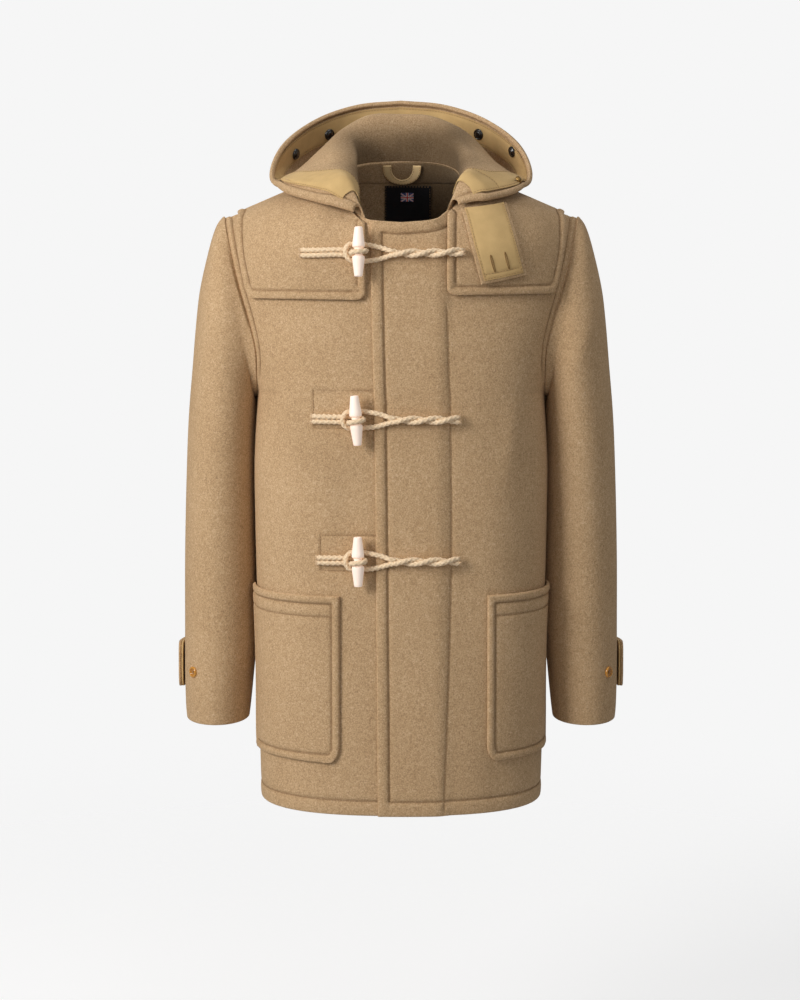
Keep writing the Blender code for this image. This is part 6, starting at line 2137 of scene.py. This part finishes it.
@dataclass
class Fastenings:
    """Three toggles, each with a cord to the wearer's right and a loop to the left."""

    coat: Coat
    rows: tuple[Fastening, ...] = (
        Fastening(-0.0524, -0.0476, 0.0, -0.1258, 0.0791),
        Fastening(-0.0561, -0.2602, 3.7, -0.1142, 0.0740),
        Fastening(-0.0530, -0.4435, 0.6, -0.1077, 0.0740))
    toggle_length: float = 0.064
    toggle_radius: float = 0.0080
    end_radius: float = 0.0052
    waist: float = 0.0052
    waist_half: float = 0.0058
    toggle_axis: float = 0.0160
    cord_radius: float = 0.0031
    cord_sides: int = 16
    fibres: int = 26
    cord_pair: float = 0.0066
    twist_pitch: float = 0.056
    plait_pitch: float = 0.0066
    loop_join_x: float = -0.0130

    @property
    def lies(self) -> float:
        """Height of a strand's centre on the cloth."""
        return self.cord_radius + LAYER_GAP

    def _toggle(self, number: int, course: Course, row: Fastening) -> None:
        """A horn-shaped bar with a waist, turned about its own axis."""
        half, r, end = self.toggle_length / 2, self.toggle_radius, self.end_radius
        w, low = self.waist, self.waist_half
        upper = [(0.0, half - 0.0016), (end * 0.30, half - 0.0012), (end * 0.50, half - 0.0002),
                 (end * 0.80, half), (end * 1.02, half - 0.0012), (r * 0.80, half * 0.70),
                 (r * 0.94, half * 0.42), (r, low * 1.7), (r * 0.985, low * 1.12), (r * 0.90, low * 0.98),
                 (w * 1.04, low * 0.78), (w, low * 0.5)]
        rows = upper + [(radius, -height) for radius, height in reversed(upper)]
        along, upward, _ = course.axes(np.array(row.x))
        tilt = math.radians(row.tilt)
        place, _ = course.at(np.array([[row.x, 0.0, self.toggle_axis]]))
        axis = upward * math.cos(tilt) - along * math.sin(tilt)
        points, faces = turned(smooth_profile(rows, 96), 36, place[0], axis)
        solid(f"horn_toggle_{number}", points, faces, Finish.HORN, f"toggle_{number}")

    def _cord(self, name: str, node: str, course: Course, route: list[tuple[float, float, float]]) -> None:
        """A plaited cord along a route, frayed at both ends.

        Its radius is R(1 + 0.1 cos(3t + kd) + 0.1 cos(3t - kd)), two sets of
        three ridges that wind round it both ways.
        """
        rough, out = course.at(np.array(route))
        line = spline(rough, np.linspace(0, 1, 1600))
        hint = spline(out, np.linspace(0, 1, 1600))
        walked = run_length(line)
        count = int(walked[-1] / 0.00065)
        even = np.linspace(0, walked[-1], count)
        line, hint = read_at(even, walked, line), unit(read_at(even, walked, hint))
        along = unit(np.gradient(line, axis=0))
        frames = np.empty_like(line)
        frames[0] = hint[0]
        for k in range(1, count):
            frames[k] = frames[k - 1] - along[k] * (frames[k - 1] @ along[k])
            frames[k] /= np.linalg.norm(frames[k])
        pitch, last = 2 * math.pi / self.plait_pitch, even[-1]

        def ridges(place: Array, angle: Array) -> Array:
            """The two sets of ridges at a distance and an angle, -1 to 1."""
            return (np.cos(3 * angle + pitch * place) + np.cos(3 * angle - pitch * place)) / 2

        def plait(place: Array, angle: Array) -> Array:
            """Radius of the plait at a distance and an angle."""
            ends = 1 - 0.25 * np.exp(-(np.minimum(place, last - place) / 0.0012) ** 2)
            uneven = 0.99 + 0.2 * ridges(place, angle) + 0.04 * wobble(place, 0.013, 0.7)
            return self.cord_radius * uneven * ends

        points, faces, uv = sweep(line, plait, self.cord_sides, frames)
        angle = (np.arange(self.cord_sides) * 2 * math.pi / self.cord_sides)[None]
        # painted shade: the furrows between the ridges are marked for darkening
        groove = np.concatenate([np.clip(-ridges(even[:, None], angle) * 1.1, 0, 1).ravel(), [0, 0]])
        parts, quads, uvs, grooves = [points], [faces], [uv], [groove]
        total = len(points)
        for tip, way in ((line[0], -along[0]), (line[-1], along[-1])):
            tuft, tuft_faces = self._fray(tip, way, hint[0])
            parts.append(tuft)
            quads.append(tuft_faces + total)
            uvs.append(np.zeros((len(tuft), 2)))
            # the frayed fibres are coloured slightly darker
            grooves.append(np.full(len(tuft), 0.15))
            total += len(tuft)
        solid(name, np.concatenate(parts), np.concatenate(quads), Finish.CORD, node, uv=np.concatenate(uvs),
              groove=np.concatenate(grooves))

    def _fray(self, tip: Array, way: Array, out: Array) -> tuple[Array, Array]:
        """Loose fibres that fan out from a cord's cut end, each a thin four-sided spike."""
        count = self.fibres
        rng = np.random.default_rng(int(abs(tip[0]) * 1e5) + 7)
        side = np.cross(way, out)
        angle, rim = rng.uniform(0, 2 * math.pi, count), np.sqrt(rng.uniform(0, 1, count))
        offset = side * np.cos(angle)[:, None] + out * np.sin(angle)[:, None]
        offset = offset * (rim * self.cord_radius * 0.8)[:, None]
        length = rng.uniform(0.0022, 0.0048, count)[:, None]
        lean = offset * rng.uniform(0.4, 1.3, count)[:, None]
        shares = np.array([0.0, 0.4, 0.75, 1.0])
        middle = (tip - way * 0.0012 + offset)[:, None] + shares[:, None] * (way * length + lean)[:, None]
        middle = middle - out * (0.0010 * shares ** 2)[None, :, None]
        girth = np.array([0.00034, 0.0003, 0.00022, 0.00006])
        turn = np.arange(4) * math.pi / 2
        ring = side * np.cos(turn)[:, None] + out * np.sin(turn)[:, None]
        return rods(middle[:, :, None] + ring[None, None] * girth[None, :, None, None])

    def _toggle_route(self, row: Fastening) -> list[tuple[float, float, float]]:
        """From the sewn end to the toggle, once round its waist and back."""
        half, lies = self.cord_pair / 2, self.lies
        wrap = self.waist + self.cord_radius + 0.0006
        laid = np.linspace(row.cord_from, row.x - 0.0155, 5)
        route = [(x, half, lies) for x in laid]
        route += [(row.x - 0.0080, half, lies), (row.x - 0.0030, half, lies + 0.0014)]
        for share in np.linspace(0, 1, 10):
            turn = math.radians(290 * share)
            route.append((row.x + wrap * math.sin(turn), half * (1 - 2 * share),
                          self.toggle_axis - wrap * math.cos(turn)))
        route += [(row.x - 0.0100, -half, 0.0066), (row.x - 0.0122, -half, lies + 0.0004)]
        return route + [(x, -half, lies) for x in laid[::-1]]

    def _loop_route(self, row: Fastening) -> list[tuple[float, float, float]]:
        """A twisted pair that opens into a loop behind and round the toggle."""
        lies = self.lies
        steps = max(8, int(round((row.loop_to - self.loop_join_x) / self.twist_pitch * 8)))
        xs = np.linspace(row.loop_to, self.loop_join_x, steps + 1)
        phase = (xs - self.loop_join_x) / self.twist_pitch * 2 * math.pi + math.pi / 2
        spread = self.cord_radius * 0.95

        def strand(sign: int) -> list[tuple[float, float, float]]:
            """One of the two strands of the twisted pair."""
            return [(x, sign * spread * math.sin(p), lies + spread * (1 + sign * math.cos(p)))
                    for x, p in zip(xs, phase)]

        opened = [(-0.0235, 0.0064, lies), (-0.0340, 0.0090, lies), (row.x + 0.0075, 0.0106, lies),
                  (row.x, 0.0108, lies), (row.x - 0.0065, 0.0110, lies + 0.0018),
                  (row.x - 0.0120, 0.0100, lies + 0.0050), (row.x - 0.0160, 0.0056, 0.0106)]
        far = [(row.x - 0.0174, 0.0, 0.0112)]
        back = [(x, -above, height) for x, above, height in opened[::-1]]
        return strand(1) + opened + far + back + strand(-1)[::-1]

    def build(self) -> None:
        """Build and dress the toggles and their cords."""
        for number, row in enumerate(self.rows, 1):
            course = Course(self.coat, row.z)
            self._toggle(number, course, row)
            self._cord(f"toggle_cord_jute_{number}", f"toggle_cord_{number}", course, self._toggle_route(row))
            self._cord(f"loop_cord_jute_{number}", f"loop_cord_{number}", course, self._loop_route(row))


# ---------------------------------------------------------------- inside the neck
@dataclass
class NeckTrim:
    """The hanging loop and the bare woven label inside the back neck."""

    coat: Coat
    loop_centre: float = 0.0015
    loop_half: tuple[float, float] = (0.028, 0.0155)
    loop_wall: float = 0.0022
    loop_lift: float = 0.0048
    loop_top: float = 0.070
    loop_bottom: tuple[float, float] = (0.0435, 0.0500)
    label_centre: float = 0.0095
    label_half: float = 0.032
    label_z: tuple[float, float] = (-0.014, 0.041)
    label_lift: float = 0.0018
    flag_centre: tuple[float, float] = (0.0085, 0.0255)
    flag_lift: float = 0.0026
    flag_wall: float = 0.0006

    def _loop(self) -> Surface:
        """A flat band in a U: x = -w cos t, z = top - drop sin(t)^0.8, w and drop mixed across it."""
        turn, share = np.meshgrid(np.linspace(0, math.pi, 260), np.linspace(0, 1, 40))
        half = self.loop_half[0] + (self.loop_half[1] - self.loop_half[0]) * share
        bottom = self.loop_bottom[0] + (self.loop_bottom[1] - self.loop_bottom[0]) * share
        x = self.loop_centre - half * np.cos(turn)
        z = self.loop_top - (self.loop_top - bottom) * np.sin(turn) ** 0.8
        across, up = self.coat.back.place(x, z)
        return Surface(self.coat.back.at(across, up, -WALL - self.loop_lift))

    def _label(self, lift: float, centre: tuple[float, float], half: tuple[float, float]) -> Surface:
        """A rectangle on the inside of the back."""
        x, z = np.meshgrid(np.linspace(centre[0] - half[0], centre[0] + half[0], 100),
                           np.linspace(centre[1] - half[1], centre[1] + half[1], 100))
        across, up = self.coat.back.place(x, z)
        return Surface(self.coat.back.at(across, up, -WALL - lift))

    def build(self) -> None:
        """Build and dress the loop and the label."""
        coat = self.coat
        edges = [Track(edge, TAPE_STITCH, depth=0.0002) for edge in (Edge.TOP, Edge.BOTTOM)]
        coat.sew(Cloth("hanging_loop_cotton", self._loop(), self.loop_wall, edges, spacing=0.0022),
                 Finish.TAPE, "hanging_loop", "back")
        low, high = self.label_z
        middle, half = (self.label_centre, (low + high) / 2), (self.label_half, (high - low) / 2)
        edges = [Track(edge, TAPE_STITCH, depth=0.0003) for edge in Edge]
        label = self._label(self.label_lift, middle, half)
        coat.sew(Cloth("neck_label_tape", label, FACING, edges, spacing=0.0030, pucker=0.00008),
                 Finish.LABEL, "label", "back")
        flag = self._label(self.flag_lift, self.flag_centre, (Flag.wide / 2, Flag.high / 2))
        coat.sew(Cloth("neck_label_flag", flag, self.flag_wall, spacing=0.0030), Finish.FLAG, "", "label",
                 held="stretched")


# ---------------------------------------------------------------- studio
@dataclass
class Studio:
    """Camera, plain pale floor and soft light."""

    camera_at: tuple[float, float, float] = (0.0, -3.1, 0.05)
    pitch: float = 4.251
    lens: float = 83.42
    shift: tuple[float, float] = (-0.001, -0.150)
    aim: tuple[float, float, float] = (0, 0, -0.35)
    floor_z: float = -1.25
    floor_glow: float = 0.62
    floor_tint: Colour = (188, 189, 191)
    floor_fade: tuple[float, float] = (1.4, 2.6)        # distances from the middle
    backdrop: Colour = (246, 246, 246)

    def _camera(self) -> None:
        """A level camera in front of the shoulders, tipped slightly down."""
        data = bpy.data.cameras.new("camera")
        data.lens, data.sensor_width = self.lens, 36.0
        data.shift_x, data.shift_y = self.shift
        data.clip_start, data.clip_end = 0.05, 60.0
        camera = bpy.data.objects.new("camera", data)
        camera.location = self.camera_at
        camera.rotation_euler = (math.radians(90 - self.pitch), 0, 0)
        bpy.context.scene.collection.objects.link(camera)
        bpy.context.scene.camera = camera

    def _floor(self) -> None:
        """A wide pale disc that fades into the background."""
        turn = np.linspace(0, 2 * math.pi, 97)[:-1]
        radii = np.linspace(0.0005, 9.0, 40)
        ring = np.stack([np.cos(turn), np.sin(turn)], axis=1)
        flat = (radii[:, None, None] * ring).reshape(-1, 2)
        points = np.column_stack([flat, np.full(len(flat), self.floor_z)])
        thing = make_mesh("floor", points, grid_faces(len(radii), len(turn), wrap_across=True))
        made, nodes, shader = blank("pale_floor")
        away = nodes.add("VectorMath", {"operation": "LENGTH"}, i0=nodes.place("Object")).outputs["Value"]
        near, far = self.floor_fade
        fade = nodes.add("MapRange", {"interpolation_type": "SMOOTHSTEP"}, Value=away, From_Min=near,
                         From_Max=far, To_Min=1.0, To_Max=0.0).outputs[0]
        seen = nodes.add("LightPath").outputs["Is Camera Ray"]
        nodes.feed(shader, Base_Color=rgba(self.floor_tint), Roughness=0.9,
                   Emission_Color=rgba(self.backdrop), Emission_Strength=nodes.times(seen, self.floor_glow),
                   Alpha=fade)
        thing.data.materials.append(made)

    def _world(self) -> None:
        """A pale surround: even to the camera, a little dimmer as light."""
        world = bpy.data.worlds.new("surround")
        world.use_nodes = True
        bpy.context.scene.world = world
        nodes = Nodes(world.node_tree)
        world.node_tree.nodes.clear()
        seen = nodes.add("Background", None, Color=rgba(self.backdrop), Strength=1.0).outputs[0]
        light = nodes.add("Background", None, Color=(1.0, 0.985, 0.96, 1), Strength=0.23).outputs[0]
        path = nodes.add("LightPath").outputs["Is Camera Ray"]
        both = nodes.add("MixShader", None, i0=path, i1=light, i2=seen).outputs[0]
        nodes.add("OutputWorld", None, Surface=both)

    def _light(self, name: str, place: tuple[float, float, float], size: tuple[float, float], power: float,
               colour: tuple[float, float, float]) -> None:
        """A rectangular soft light aimed at the coat's middle."""
        data = bpy.data.lights.new(name, "AREA")
        data.shape, data.size, data.size_y = "RECTANGLE", *size
        data.energy, data.color = power, colour
        lamp = bpy.data.objects.new(name, data)
        lamp.location = place
        lamp.rotation_euler = (Vector(self.aim) - Vector(place)).to_track_quat("-Z", "Y").to_euler()
        bpy.context.scene.collection.objects.link(lamp)

    def build(self) -> None:
        """Set up the camera, floor and lights."""
        self._camera()
        self._floor()
        self._world()
        self._light("key_softbox", (-2.06, -1.73, 0.79), (1.1, 1.5), 66.0, (1.0, 0.975, 0.94))
        self._light("fill_softbox", (0.8, -3.6, 1.0), (1.6, 1.6), 11.0, (1.0, 0.99, 0.98))
        self._light("top_softbox", (0.6, -0.8, 2.3), (2.0, 1.4), 14.0, (1.0, 0.99, 0.97))
        self._light("back_softbox", (0.2, 3.2, 0.9), (2.4, 2.2), 24.0, (1.0, 0.985, 0.96))
        bpy.context.scene.view_settings.view_transform = "Standard"


def main() -> None:
    """Build the studio, then the coat piece by piece, and last its topstitching."""
    logging.basicConfig(level=logging.INFO, format="%(name)s %(message)s")
    Studio().build()
    coat = Coat()
    for part in (Torso(coat), SeamTapes(coat), Sleeve(coat, 1), Sleeve(coat, -1), Hood(coat), Yokes(coat),
                 Pockets(coat), ThroatTab(coat), Fastenings(coat), NeckTrim(coat)):
        part.build()
        LOG.info("%s done", type(part).__name__)
    dress(thread("topstitching", coat.seams), Finish.TOPSTITCH)


if __name__ == "__main__":
    main()
